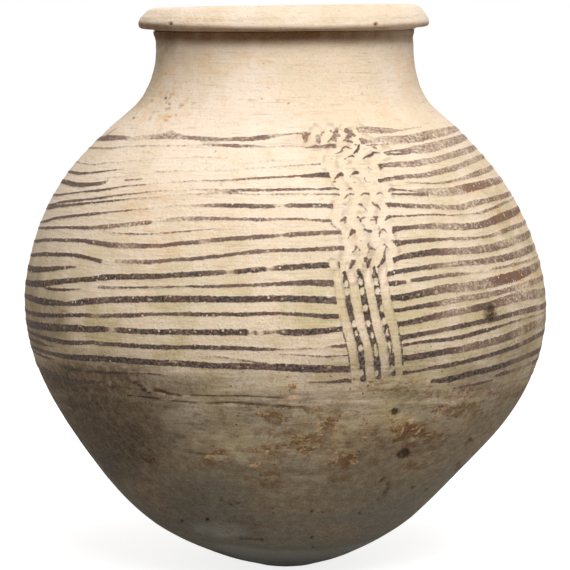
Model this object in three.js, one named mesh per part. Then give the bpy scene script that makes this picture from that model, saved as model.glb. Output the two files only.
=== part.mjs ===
// A large round-bottomed storage jar of fired clay, built in luted sections: a base bowl, a body wall,
// a neck collar and a rolled rim. A coat of dark slip on the belly and shoulder has been combed while
// it was wet, so it stands in thin stripes between wiped furrows, with one band of four combed strokes
// that runs down across them. Millimetres, +Z up, origin on the floor under the belly's centre.
import * as THREE from 'three';

// Outline of the outside
const BASE_FLAT_RADIUS = 25;
const BASE_SLOPE_DEG = 13;
const BASE_FULLNESS = 104;
const BELLY_RADIUS = 194.6;
const BELLY_HEIGHT = 185;
const FLANK_FULLNESS = 38.5;
const SHOULDER_RISE = 190;
const SHOULDER_FULLNESS = 128;
const NECK_RADIUS = 96;
const NECK_SWEEP = 43.5;
const NECK_STRAIGHT = 25;

// Wall thickness
const BASE_WALL = 14;
const BODY_WALL = 10.5;
const NECK_WALL = 10;

// Joints between the sections, and the coils pressed over them inside
const BASE_JOINT_BELOW_BELLY = 35;
const NECK_JOINT_BELOW_NECK = 23;
const JOINT_BEVEL = 7;
const JOINT_GAP = 0.3;
const COIL_WIDTH = 38;
const COIL_THICKNESS = 5;

// Rolled rim, and the clay smeared into the corner under it
const RIM_HEIGHT = 20;
const RIM_OVERHANG = 12;
const RIM_NOSE_HEIGHT = 5.5;
const RIM_NOSE_ROUNDING = 3;
const RIM_LEDGE_RISE = 1;
const RIM_SIDE_FULLNESS = 7;
const RIM_LIP_THICKNESS = 13;
const RIM_LIP_FULLNESS = 7.8;
const FILLET_HEIGHT = 8;
const FILLET_THICKNESS = 2.4;
const FILLET_HOLLOW_HEIGHT = 3.2;
const FILLET_HOLLOW_THICKNESS = 1.9;

// Dark slip and the comb that was drawn through it
const SLIP_ABOVE_BASE_JOINT = 9;
const SLIP_BELOW_NECK_JOINT = 23;
const SLIP_FILM = 0.6;
const SLIP_EDGE_RUN = 5;
const STRIPE_PITCH = 10.3;
const STRIPE_WIDTH = 4.4;
const STRIPE_PROUD = 0.7;
const STRIPE_WANDER = 1.6;
const WANDERS_ROUND = 3;
const WANDER_DRIFT = 0.8;
const BAND_ANGLE_DEG = 17;
const STROKE_COUNT = 4;
const STROKE_PITCH = 10.6;
const STROKE_WIDTH = 6.4;
const STROKE_SIDE = 0.8;
const ZIGZAG_SWING = 3.6;
const ZIGZAG_PERIOD = 24;
const ZIGZAG_ABOVE_BELLY = 62;

// Hand-made unevenness
const FOOT_SWAY = -5;
const FOOT_SWAY_HEIGHT = 60;
const FOOT_SWAY_REACH = 32;
const SHOULDER_SWAY = -2.4;
const SHOULDER_SWAY_HEIGHT = 300;
const SHOULDER_SWAY_REACH = 45;
const RIM_TILT_DEG = 0.45;

// Fineness of the facets
const COLUMNS = 36;
const CHORD_TOLERANCE = 0.5;
const LONGEST_STEP = 30;
const LEAST_BEND = 1e-4;
const ROW_CLEARANCE = 1;

const TURN = Math.PI * 2;
const radians = THREE.MathUtils.degToRad;
const point = (radius, height) => new THREE.Vector2(radius, height);

// The outline runs from the middle of the base, up the outside, to the top of the neck
const neckFoot = BELLY_HEIGHT + SHOULDER_RISE;
const neckTop = neckFoot + NECK_STRAIGHT;
const baseSlope = radians(BASE_SLOPE_DEG);
const outline = new THREE.CurvePath();
outline.add(new THREE.LineCurve(point(0, 0), point(BASE_FLAT_RADIUS, 0)));
outline.add(new THREE.CubicBezierCurve(
  point(BASE_FLAT_RADIUS, 0),
  point(BASE_FLAT_RADIUS + BASE_FULLNESS * Math.cos(baseSlope), BASE_FULLNESS * Math.sin(baseSlope)),
  point(BELLY_RADIUS, BELLY_HEIGHT - FLANK_FULLNESS),
  point(BELLY_RADIUS, BELLY_HEIGHT),
));
outline.add(new THREE.CubicBezierCurve(
  point(BELLY_RADIUS, BELLY_HEIGHT),
  point(BELLY_RADIUS, BELLY_HEIGHT + SHOULDER_FULLNESS),
  point(NECK_RADIUS, neckFoot - NECK_SWEEP),
  point(NECK_RADIUS, neckFoot),
));
outline.add(new THREE.LineCurve(point(NECK_RADIUS, neckFoot), point(NECK_RADIUS, neckTop)));
const outlineLength = outline.getLength();

// The point and the direction of the outline at a distance along it
const TANGENT_REACH = 4;
const STATION_TOLERANCE = 1e-6;
function outlineAt(s) {
  return outline.getPointAt(THREE.MathUtils.clamp(s / outlineLength, 0, 1));
}
function directionAt(s) {
  return outlineAt(s + TANGENT_REACH).sub(outlineAt(s - TANGENT_REACH)).normalize();
}
function stationAtHeight(height) {
  let low = BASE_FLAT_RADIUS;
  let high = outlineLength;
  while (high - low > STATION_TOLERANCE) {
    const middle = (low + high) / 2;
    if (outlineAt(middle).y < height) low = middle;
    else high = middle;
  }
  return low;
}

// The wall thins from the base to the belly and again to the neck
const bellyStation = stationAtHeight(BELLY_HEIGHT);
function wallAt(s) {
  if (s < bellyStation) {
    return THREE.MathUtils.lerp(BASE_WALL, BODY_WALL, THREE.MathUtils.smoothstep(s, 0, bellyStation));
  }
  const upper = THREE.MathUtils.smoothstep(s, bellyStation, outlineLength);
  return THREE.MathUtils.lerp(BODY_WALL, NECK_WALL, upper);
}

// A point off the outline, out from the jar where the offset is positive
function skinPoint(s, offset) {
  const direction = directionAt(s);
  const p = outlineAt(s);
  return point(Math.max(0, p.x + direction.y * offset), p.y - direction.x * offset);
}
function innerPoint(s, inset = 0) {
  return skinPoint(s, -wallAt(s) - inset);
}

// Rows for the facets, closer together where the outline bends more
function stepAt(s) {
  const bend = directionAt(s - TANGENT_REACH).angleTo(directionAt(s + TANGENT_REACH));
  const curvature = bend / (2 * TANGENT_REACH);
  return Math.min(LONGEST_STEP, Math.sqrt(8 * CHORD_TOLERANCE / Math.max(curvature, LEAST_BEND)));
}
function stepAhead(s) {
  const step = stepAt(s);
  return Math.min(step, stepAt(s + step));
}

// Places of the two joints, as distances along the outline, and the rows that the coils share
const baseJoint = stationAtHeight(BELLY_HEIGHT - BASE_JOINT_BELOW_BELLY);
const neckJointHeight = neckFoot - NECK_JOINT_BELOW_NECK;
const neckJoint = stationAtHeight(neckJointHeight);
const coilSpan = (joint) => [
  joint + JOINT_BEVEL / 2 - COIL_WIDTH / 2,
  joint + JOINT_BEVEL / 2 + COIL_WIDTH / 2,
];
const coilRows = (joint) => [...coilSpan(joint), joint + JOINT_BEVEL];
const stations = [...coilRows(baseJoint), ...coilRows(neckJoint)];
for (let s = BASE_FLAT_RADIUS; s < outlineLength; s += stepAhead(s)) stations.push(s);
stations.sort((a, b) => a - b);
function stationsBetween(from, to) {
  return stations.filter((s) => s > from + ROW_CLEARANCE && s < to - ROW_CLEARANCE);
}

// Ends of the slip, as distances along the outline
const slipBottom = stationAtHeight(BELLY_HEIGHT - BASE_JOINT_BELOW_BELLY + SLIP_ABOVE_BASE_JOINT);
const slipTop = stationAtHeight(neckJointHeight - SLIP_BELOW_NECK_JOINT);

// The shallow seat in the body wall that the slip lies in
const seatDepth = SLIP_FILM + JOINT_GAP;
const seatRamp = seatDepth * SLIP_EDGE_RUN;
const seatStart = slipBottom - JOINT_GAP * SLIP_EDGE_RUN;
const seatEnd = slipTop + JOINT_GAP * SLIP_EDGE_RUN;
const seatCorners = [seatStart, seatStart + seatRamp, seatEnd - seatRamp, seatEnd];
function seatInset(s) {
  const nearestEdge = Math.min(s - seatStart, seatEnd - s);
  return THREE.MathUtils.clamp(nearestEdge / SLIP_EDGE_RUN, 0, seatDepth);
}

// The small lean of the foot and shoulder and the tilt of the rim, the same for every piece
function bump(distance) {
  return Math.exp(-distance * distance);
}
function unevenness(geometry) {
  const position = geometry.getAttribute('position');
  for (let i = 0; i < position.count; i += 1) {
    const x = position.getX(i);
    const z = position.getZ(i);
    const foot = FOOT_SWAY * bump((z - FOOT_SWAY_HEIGHT) / FOOT_SWAY_REACH);
    const shoulder = SHOULDER_SWAY * bump((z - SHOULDER_SWAY_HEIGHT) / SHOULDER_SWAY_REACH);
    const tilt = Math.tan(radians(RIM_TILT_DEG)) * THREE.MathUtils.smoothstep(z, neckJointHeight, neckTop);
    position.setX(i, x + foot + shoulder);
    position.setZ(i, z + x * tilt);
  }
  return geometry;
}

// A piece turned from a profile that goes up its outside and down its inside
function turned(profile) {
  const geometry = new THREE.LatheGeometry(profile, COLUMNS);
  geometry.rotateX(Math.PI / 2);
  return unevenness(geometry);
}
const closed = (profile) => [...profile, profile[0]];

// A section of wall between two joints. Each joint face is bevelled, higher on the inside.
function wallSection(from, to) {
  const outerRows = [...stationsBetween(from, to), ...seatCorners.filter((s) => s > from && s < to)];
  outerRows.sort((a, b) => a - b);
  const outside = [from, ...outerRows, to].map((s) => skinPoint(s, -seatInset(s)));
  const innerFrom = from + JOINT_BEVEL;
  const innerTo = to + JOINT_BEVEL;
  const inside = [innerTo, ...stationsBetween(innerFrom, innerTo).reverse(), innerFrom];
  return closed([...outside, ...inside.map((s) => innerPoint(s))]);
}

function baseBowl() {
  const top = baseJoint - JOINT_GAP / 2;
  const innerTop = top + JOINT_BEVEL;
  const outside = [0, ...stationsBetween(0, top), top].map((s) => skinPoint(s, 0));
  const inside = [innerTop, ...stationsBetween(0, innerTop).reverse()].map((s) => innerPoint(s));
  return turned([...outside, ...inside, point(0, BASE_WALL)]);
}

function bodyWall() {
  return turned(wallSection(baseJoint + JOINT_GAP / 2, neckJoint - JOINT_GAP / 2));
}

// The collar's top face slopes like the joints below it, and the rim's foot sits on it
function neckCollar() {
  const bottom = neckJoint + JOINT_GAP / 2;
  const outside = [bottom, ...stationsBetween(bottom, outlineLength), outlineLength];
  const inner = [...stationsBetween(bottom + JOINT_BEVEL, outlineLength).reverse(), bottom + JOINT_BEVEL];
  const topInside = point(NECK_RADIUS - NECK_WALL, neckTop + JOINT_BEVEL);
  return turned(closed([
    ...outside.map((s) => skinPoint(s, 0)),
    topInside,
    ...inner.map((s) => innerPoint(s)),
  ]));
}

// A flattened coil pressed over a joint from the inside, thin at its edges
function jointCoil(joint) {
  const [from, to] = coilSpan(joint);
  const middle = (from + to) / 2;
  const rows = [from, ...stationsBetween(from, to), to];
  const front = rows.slice(1, -1).reverse().map((s) => {
    const across = (s - middle) / (COIL_WIDTH / 2);
    return innerPoint(s, JOINT_GAP + COIL_THICKNESS * (1 - across * across));
  });
  const back = rows.map((s) => innerPoint(s, JOINT_GAP));
  return turned(closed([...back, ...front]));
}

// The rim's section: a ledge, a nose that leans back to a rounded lip, and a short inner face
const RIM_ROWS = 15;
function rimCoil() {
  const foot = neckTop + JOINT_GAP;
  const innerFoot = foot + JOINT_BEVEL;
  const innerRadius = NECK_RADIUS - NECK_WALL;
  const top = neckTop + RIM_HEIGHT;
  const noseRadius = NECK_RADIUS + RIM_OVERHANG;
  const noseHeight = neckTop + RIM_NOSE_HEIGHT;
  const lipMiddle = innerRadius + RIM_LIP_THICKNESS / 2;
  const ledgeHeight = foot + RIM_LEDGE_RISE;
  const ledgeEnd = point(noseRadius - RIM_NOSE_ROUNDING, ledgeHeight);
  const section = new THREE.CurvePath();
  section.add(new THREE.LineCurve(point(NECK_RADIUS, foot), ledgeEnd));
  section.add(new THREE.QuadraticBezierCurve(
    ledgeEnd,
    point(noseRadius, ledgeHeight),
    point(noseRadius, noseHeight),
  ));
  section.add(new THREE.CubicBezierCurve(
    point(noseRadius, noseHeight),
    point(noseRadius, noseHeight + RIM_SIDE_FULLNESS),
    point(lipMiddle + RIM_LIP_FULLNESS, top),
    point(lipMiddle, top),
  ));
  section.add(new THREE.QuadraticBezierCurve(
    point(lipMiddle, top),
    point(innerRadius, top),
    point(innerRadius, innerFoot),
  ));
  return turned(closed(section.getSpacedPoints(RIM_ROWS)));
}

function rimJointFillet() {
  const seat = NECK_RADIUS + JOINT_GAP;
  const top = neckTop - JOINT_GAP / 2;
  const foot = top - FILLET_HEIGHT;
  return turned(closed([
    point(seat, foot),
    point(seat + FILLET_HOLLOW_THICKNESS, foot + FILLET_HOLLOW_HEIGHT),
    point(seat + FILLET_THICKNESS, top),
    point(seat, top),
  ]));
}

// Rows of the combed slip: each stripe is a low ridge between two wiped furrows
function combRows() {
  const zone = slipTop - slipBottom;
  const count = Math.floor(zone / STRIPE_PITCH);
  const margin = (zone - (count - 1) * STRIPE_PITCH) / 2;
  const rows = [{ s: slipBottom, proud: 0, wander: 0, stripe: 0 }];
  for (let stripe = 0; stripe < count; stripe += 1) {
    const middle = slipBottom + margin + stripe * STRIPE_PITCH;
    const edges = [[-STRIPE_WIDTH / 2, 0], [0, STRIPE_PROUD], [STRIPE_WIDTH / 2, 0]];
    for (const [across, proud] of edges) {
      rows.push({ s: middle + across, proud, wander: STRIPE_WANDER, stripe });
    }
  }
  rows.push({ s: slipTop, proud: 0, wander: 0, stripe: 0 });
  return rows;
}

// Columns of the combed slip: even ones all round, one at each side of the band, and four for each
// downward stroke, whose middle two lie in the stroke's furrow and so cut through every stripe
function combColumns() {
  const bandAngle = radians(BAND_ANGLE_DEG);
  const strokes = [];
  for (let stroke = 0; stroke < STROKE_COUNT; stroke += 1) {
    const middle = (stroke - (STROKE_COUNT - 1) / 2) * STROKE_PITCH;
    const half = STROKE_WIDTH / 2;
    for (const [across, keeps] of [[-half - STROKE_SIDE, 1], [-half, 0], [half, 0], [half + STROKE_SIDE, 1]]) {
      strokes.push({ angle: bandAngle + (middle + across) / BELLY_RADIUS, keeps, zigzags: 1 });
    }
  }
  const swing = (ZIGZAG_SWING + STROKE_SIDE) / BELLY_RADIUS;
  const bandFrom = strokes[0].angle - swing;
  const bandTo = strokes[strokes.length - 1].angle + swing;
  const columns = [bandFrom, bandTo].map((angle) => ({ angle, keeps: 1, zigzags: 0 }));
  for (let column = 0; column < COLUMNS; column += 1) {
    const angle = (column / COLUMNS) * TURN;
    const clear = angle < bandFrom || angle > bandTo;
    if (clear) columns.push({ angle, keeps: 1, zigzags: 0 });
  }
  return [...columns, ...strokes].sort((a, b) => a.angle - b.angle);
}

// The comb was swung from side to side on the shoulder and drawn straight on the belly
const zigzagStart = stationAtHeight(BELLY_HEIGHT + ZIGZAG_ABOVE_BELLY);
function zigzagAngle(s) {
  if (s < zigzagStart) return 0;
  const phase = ((s - zigzagStart) / ZIGZAG_PERIOD) % 1;
  const triangle = 1 - Math.abs(((phase + 0.25) % 1) * 4 - 2);
  return -triangle * ZIGZAG_SWING / BELLY_RADIUS;
}

function slipCoat() {
  const columns = combColumns();
  const rows = combRows();
  const edgeRun = SLIP_FILM * SLIP_EDGE_RUN;
  const backFrom = slipBottom + edgeRun;
  const backTo = slipTop - edgeRun;
  const back = [backTo, ...stationsBetween(backFrom, backTo).reverse(), backFrom];
  const loop = rows.length + back.length;
  const positions = [];
  const place = (angle, profilePoint) => positions.push(
    profilePoint.x * Math.sin(angle),
    -profilePoint.x * Math.cos(angle),
    profilePoint.y,
  );
  for (const column of columns) {
    for (const row of rows) {
      const drift = WANDERS_ROUND * column.angle + WANDER_DRIFT * row.stripe;
      const s = row.s + row.wander * Math.sin(drift);
      place(column.angle + column.zigzags * zigzagAngle(s), skinPoint(s, row.proud * column.keeps));
    }
    for (const s of back) place(column.angle, skinPoint(s, -SLIP_FILM));
  }
  const index = [];
  for (let column = 0; column < columns.length; column += 1) {
    const here = column * loop;
    const next = ((column + 1) % columns.length) * loop;
    for (let row = 0; row < loop; row += 1) {
      const above = (row + 1) % loop;
      index.push(here + row, next + row, here + above);
      index.push(next + above, here + above, next + row);
    }
  }
  const geometry = new THREE.BufferGeometry();
  geometry.setAttribute('position', new THREE.Float32BufferAttribute(positions, 3));
  geometry.setIndex(index);
  unevenness(geometry);
  geometry.computeVertexNormals();
  return geometry;
}

// Fired clay, lighter at the neck and greyer at the base, and the dark slip
const clay = (color) => new THREE.MeshStandardMaterial({ color, roughness: 0.92, metalness: 0 });
const slip = new THREE.MeshStandardMaterial({ color: 0x4a3b33, roughness: 0.85, metalness: 0 });

const jar = new THREE.Group();
function addPiece(name, geometry, material) {
  const mesh = new THREE.Mesh(geometry, material);
  mesh.name = name;
  jar.add(mesh);
}
addPiece('base_bowl', baseBowl(), clay(0xb5a788));
addPiece('base_joint_coil', jointCoil(baseJoint), clay(0xc2ae8c));
addPiece('body_wall', bodyWall(), clay(0xdccaa6));
addPiece('neck_joint_coil', jointCoil(neckJoint), clay(0xd4bf9c));
addPiece('neck_collar', neckCollar(), clay(0xe8d8bc));
addPiece('rim_joint_fillet', rimJointFillet(), clay(0xe2cfb0));
addPiece('rim_coil', rimCoil(), clay(0xebdcc2));
addPiece('slip_coat', slipCoat(), slip);

export default jar;
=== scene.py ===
# A large round-bottomed storage jar of pale clay with a combed dark slip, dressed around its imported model.
# Lengths in this script are millimetres until a mesh or a lamp is made. Pixels are of a 570 x 570 frame.
import itertools
import math

import bpy
import numpy as np
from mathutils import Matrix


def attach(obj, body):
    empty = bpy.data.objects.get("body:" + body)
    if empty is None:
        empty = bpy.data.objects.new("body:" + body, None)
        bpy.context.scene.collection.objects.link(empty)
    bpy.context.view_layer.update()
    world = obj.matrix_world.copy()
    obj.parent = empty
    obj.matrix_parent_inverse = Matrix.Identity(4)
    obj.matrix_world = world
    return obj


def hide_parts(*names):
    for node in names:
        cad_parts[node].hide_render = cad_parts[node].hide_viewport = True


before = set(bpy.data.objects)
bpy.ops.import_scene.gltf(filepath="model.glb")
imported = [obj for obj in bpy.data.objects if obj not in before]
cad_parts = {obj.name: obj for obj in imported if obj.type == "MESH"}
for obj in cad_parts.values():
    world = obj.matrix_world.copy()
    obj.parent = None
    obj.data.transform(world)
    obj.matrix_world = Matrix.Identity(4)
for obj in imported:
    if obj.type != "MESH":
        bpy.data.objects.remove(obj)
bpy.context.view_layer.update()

MM = 0.001
IMAGE = 570

# The camera stands in front of the jar, a little above its rim, and looks down at its middle
CAMERA_DISTANCE = 1875.0
CAMERA_HEIGHT = 425.0
AIM_HEIGHT = 210.0
MM_PER_PIXEL = 0.75
SENSOR = 36.0
EYE = np.array([0.0, -CAMERA_DISTANCE, CAMERA_HEIGHT])
REACH = math.hypot(CAMERA_DISTANCE, CAMERA_HEIGHT - AIM_HEIGHT)
FORWARD = np.array([0.0, CAMERA_DISTANCE, AIM_HEIGHT - CAMERA_HEIGHT]) / REACH
RIGHTWARD = np.array([1.0, 0.0, 0.0])
UPWARD = np.cross(RIGHTWARD, FORWARD)
FOCAL = REACH / MM_PER_PIXEL


def make_camera():
    data = bpy.data.cameras.new("camera")
    data.sensor_width = SENSOR
    data.lens = FOCAL * SENSOR / IMAGE
    data.clip_end = 100.0
    camera = bpy.data.objects.new("camera", data)
    camera.location = [v * MM for v in EYE]
    camera.rotation_euler = (math.atan2(CAMERA_DISTANCE, CAMERA_HEIGHT - AIM_HEIGHT), 0.0, 0.0)
    bpy.context.scene.collection.objects.link(camera)
    bpy.context.scene.camera = camera


make_camera()


def to_pixels(points):
    """Where points in millimetres lie in the photograph's frame."""
    offset = points - EYE
    depth = offset @ FORWARD
    x = IMAGE / 2 + FOCAL * (offset @ RIGHTWARD) / depth
    y = IMAGE / 2 - FOCAL * (offset @ UPWARD) / depth
    return x, y


# The outline of the outside as (radius, height), from the edge of the worn foot to the rim
OUTLINE = [
    (25.0, 0.0), (53.5, 10.0), (98.0, 35.0), (137.0, 75.0), (174.0, 125.0), (190.3, 165.0), (194.2, 205.0),
    (184.0, 250.0), (163.5, 290.0), (132.5, 325.0), (106.0, 350.0), (97.0, 372.0), (95.0, 400.0),
]
# How far the hand-made jar leans to the right at each height
LEAN = [
    (0, 0.9), (24, -3.2), (60, -4.5), (120, 0.9), (170, 0.8), (220, -0.5), (300, -2.2), (385, 0.0),
    (404, -0.9), (425, -0.9),
]
RIM_TILT = math.tan(math.radians(0.45))
NECK_JOINT_HEIGHT = 352.0
NECK_TOP = 400.0

SPLINE_STEPS = 60


def smooth_curve(points):
    """A centripetal spline through points, as many small steps."""
    pts = np.array(points, float)
    ends = np.vstack([2 * pts[0] - pts[1], pts, 2 * pts[-1] - pts[-2]])
    pieces = []
    for i in range(len(pts) - 1):
        p0, p1, p2, p3 = ends[i:i + 4]
        a, b, c = (np.linalg.norm(q - p) ** 0.5 for p, q in ((p0, p1), (p1, p2), (p2, p3)))
        start = b * ((p1 - p0) / a - (p2 - p0) / (a + b) + (p2 - p1) / b)
        stop = b * ((p2 - p1) / b - (p3 - p1) / (b + c) + (p3 - p2) / c)
        t = np.linspace(0, 1, SPLINE_STEPS, endpoint=False)[:, None]
        cubic = 2 * p1 - 2 * p2 + start + stop
        square = -3 * p1 + 3 * p2 - 2 * start - stop
        pieces.append(p1 + start * t + square * t ** 2 + cubic * t ** 3)
    return np.vstack(pieces + [pts[-1:]])


LEAN_CURVE = smooth_curve(LEAN)


def smoothstep(value, low, high):
    t = np.clip((value - low) / (high - low), 0.0, 1.0)
    return t * t * (3 - 2 * t)


def settle(points):
    """The lean and the tilted rim that every piece shares."""
    x, y, z = points[..., 0], points[..., 1], points[..., 2]
    lean = np.interp(z, LEAN_CURVE[:, 0], LEAN_CURVE[:, 1])
    tilt = RIM_TILT * smoothstep(z, NECK_JOINT_HEIGHT, NECK_TOP)
    return np.stack([x + lean, y, z + x * tilt], -1)


def around(radius, angle, height):
    shape = np.broadcast(radius, angle, height).shape
    x = np.broadcast_to(radius * np.sin(angle), shape)
    y = np.broadcast_to(-radius * np.cos(angle), shape)
    return np.stack([x, y, np.broadcast_to(height, shape)], -1)


class Skin:
    """A surface turned from a profile, measured by the distance s along it."""

    NORMAL_REACH = 3.0

    def __init__(self, profile, normal_reach=NORMAL_REACH):
        self.profile = np.array(profile, float)
        steps = np.linalg.norm(np.diff(self.profile, axis=0), axis=1)
        self.arc = np.concatenate([[0.0], np.cumsum(steps)])
        self.length = self.arc[-1]
        self.normal_reach = normal_reach

    def at(self, s):
        return np.interp(s, self.arc, self.profile[:, 0]), np.interp(s, self.arc, self.profile[:, 1])

    def normal(self, s):
        """The outward normal as (radial, upward)."""
        r1, z1 = self.at(np.clip(s - self.normal_reach, 0, self.length))
        r2, z2 = self.at(np.clip(s + self.normal_reach, 0, self.length))
        length = np.hypot(r2 - r1, z2 - z1)
        return (z2 - z1) / length, -(r2 - r1) / length

    def points(self, s, angle, offset=0.0):
        """Points at distances and angles, moved out by offset."""
        radius, height = self.at(s)
        out_r, out_z = self.normal(s)
        return settle(around(np.maximum(radius + out_r * offset, 0.0), angle, height + out_z * offset))


WALL = Skin(np.vstack([[0.0, 0.0], smooth_curve(OUTLINE)]))
# The rim's section from the neck, over its nose and lip and down to the collar's top, as (radius, height)
RIM_SECTION = [
    (95.4, 400.3), (100.0, 400.4), (104.6, 400.6), (106.7, 401.4), (107.4, 402.9), (107.5, 404.9),
    (106.9, 407.6), (105.4, 411.3), (102.9, 414.5), (99.9, 417.2), (96.2, 418.5), (92.0, 418.8),
    (88.6, 417.8), (86.5, 414.4), (86.0, 410.5), (86.0, 407.4),
]
# A shorter reach for the normals of small sections
SMALL_REACH = 0.8
RIM = Skin(smooth_curve(RIM_SECTION), SMALL_REACH)


def arc_at_height(height):
    rising = WALL.arc > OUTLINE[0][0]
    return float(np.interp(height, WALL.profile[rising, 1], WALL.arc[rising]))


WALL_THICKNESS = [(0.0, 14.0), (270.0, 10.5), (540.0, 10.0)]


def wall_at(s):
    return np.interp(s, [p[0] for p in WALL_THICKNESS], [p[1] for p in WALL_THICKNESS])


# Distances before and behind the jar's axis where the wall is looked for along a line of sight, and the step
LOOK_BEFORE = 260.0
LOOK_BEHIND = 120.0
LOOK_STEP = 0.25


def pixel_to_point(x, y):
    """The point on the front of the outside wall that the camera sees at a pixel."""
    ray = FORWARD + RIGHTWARD * (x - IMAGE / 2) / FOCAL + UPWARD * (IMAGE / 2 - y) / FOCAL
    ray /= np.linalg.norm(ray)
    along = np.arange(CAMERA_DISTANCE - LOOK_BEFORE, CAMERA_DISTANCE + LOOK_BEHIND, LOOK_STEP)
    p = EYE + along[:, None] * ray
    lean = np.interp(p[:, 2], LEAN_CURVE[:, 0], LEAN_CURVE[:, 1])
    wall = np.interp(p[:, 2], WALL.profile[1:, 1], WALL.profile[1:, 0])
    inside = np.hypot(p[:, 0] - lean, p[:, 1]) < wall
    return p[int(np.argmax(inside))]


# Value noise on a lattice that is hashed from whole numbers, the same on every run
HASH_X, HASH_Y, HASH_Z, HASH_SEED, HASH_MIX = 374761393, 668265263, 1442695041, 974711, 1274126177
WORD = 0xFFFFFFFF
HALF_WORD = 0xFFFF


def lattice(ix, iy, iz, seed):
    """A number from -1 to 1 for each corner of the lattice."""
    n = (ix * HASH_X + iy * HASH_Y + iz * HASH_Z + seed * HASH_SEED) & WORD
    n = ((n ^ (n >> 13)) * HASH_MIX) & WORD
    n = n ^ (n >> 16)
    return (n & HALF_WORD) / (HALF_WORD / 2) - 1.0


def noise(points, size, seed):
    """Smooth noise from -1 to 1. size is one length, or three along X, Y and Z."""
    scaled = points / np.array(size, float)
    cell = np.floor(scaled).astype(np.int64)
    part = scaled - cell
    part = part * part * (3 - 2 * part)
    total = 0.0
    for corner in itertools.product((0, 1), repeat=3):
        weight = np.prod(np.where(corner, part, 1 - part), axis=-1)
        total = total + weight * lattice(*np.moveaxis(cell + corner, -1, 0), seed)
    return total


def patchy(points, size, seed, low, high):
    """0 to 1, as the noise there goes from low to high."""
    return smoothstep(noise(points, size, seed), low, high)


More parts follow.
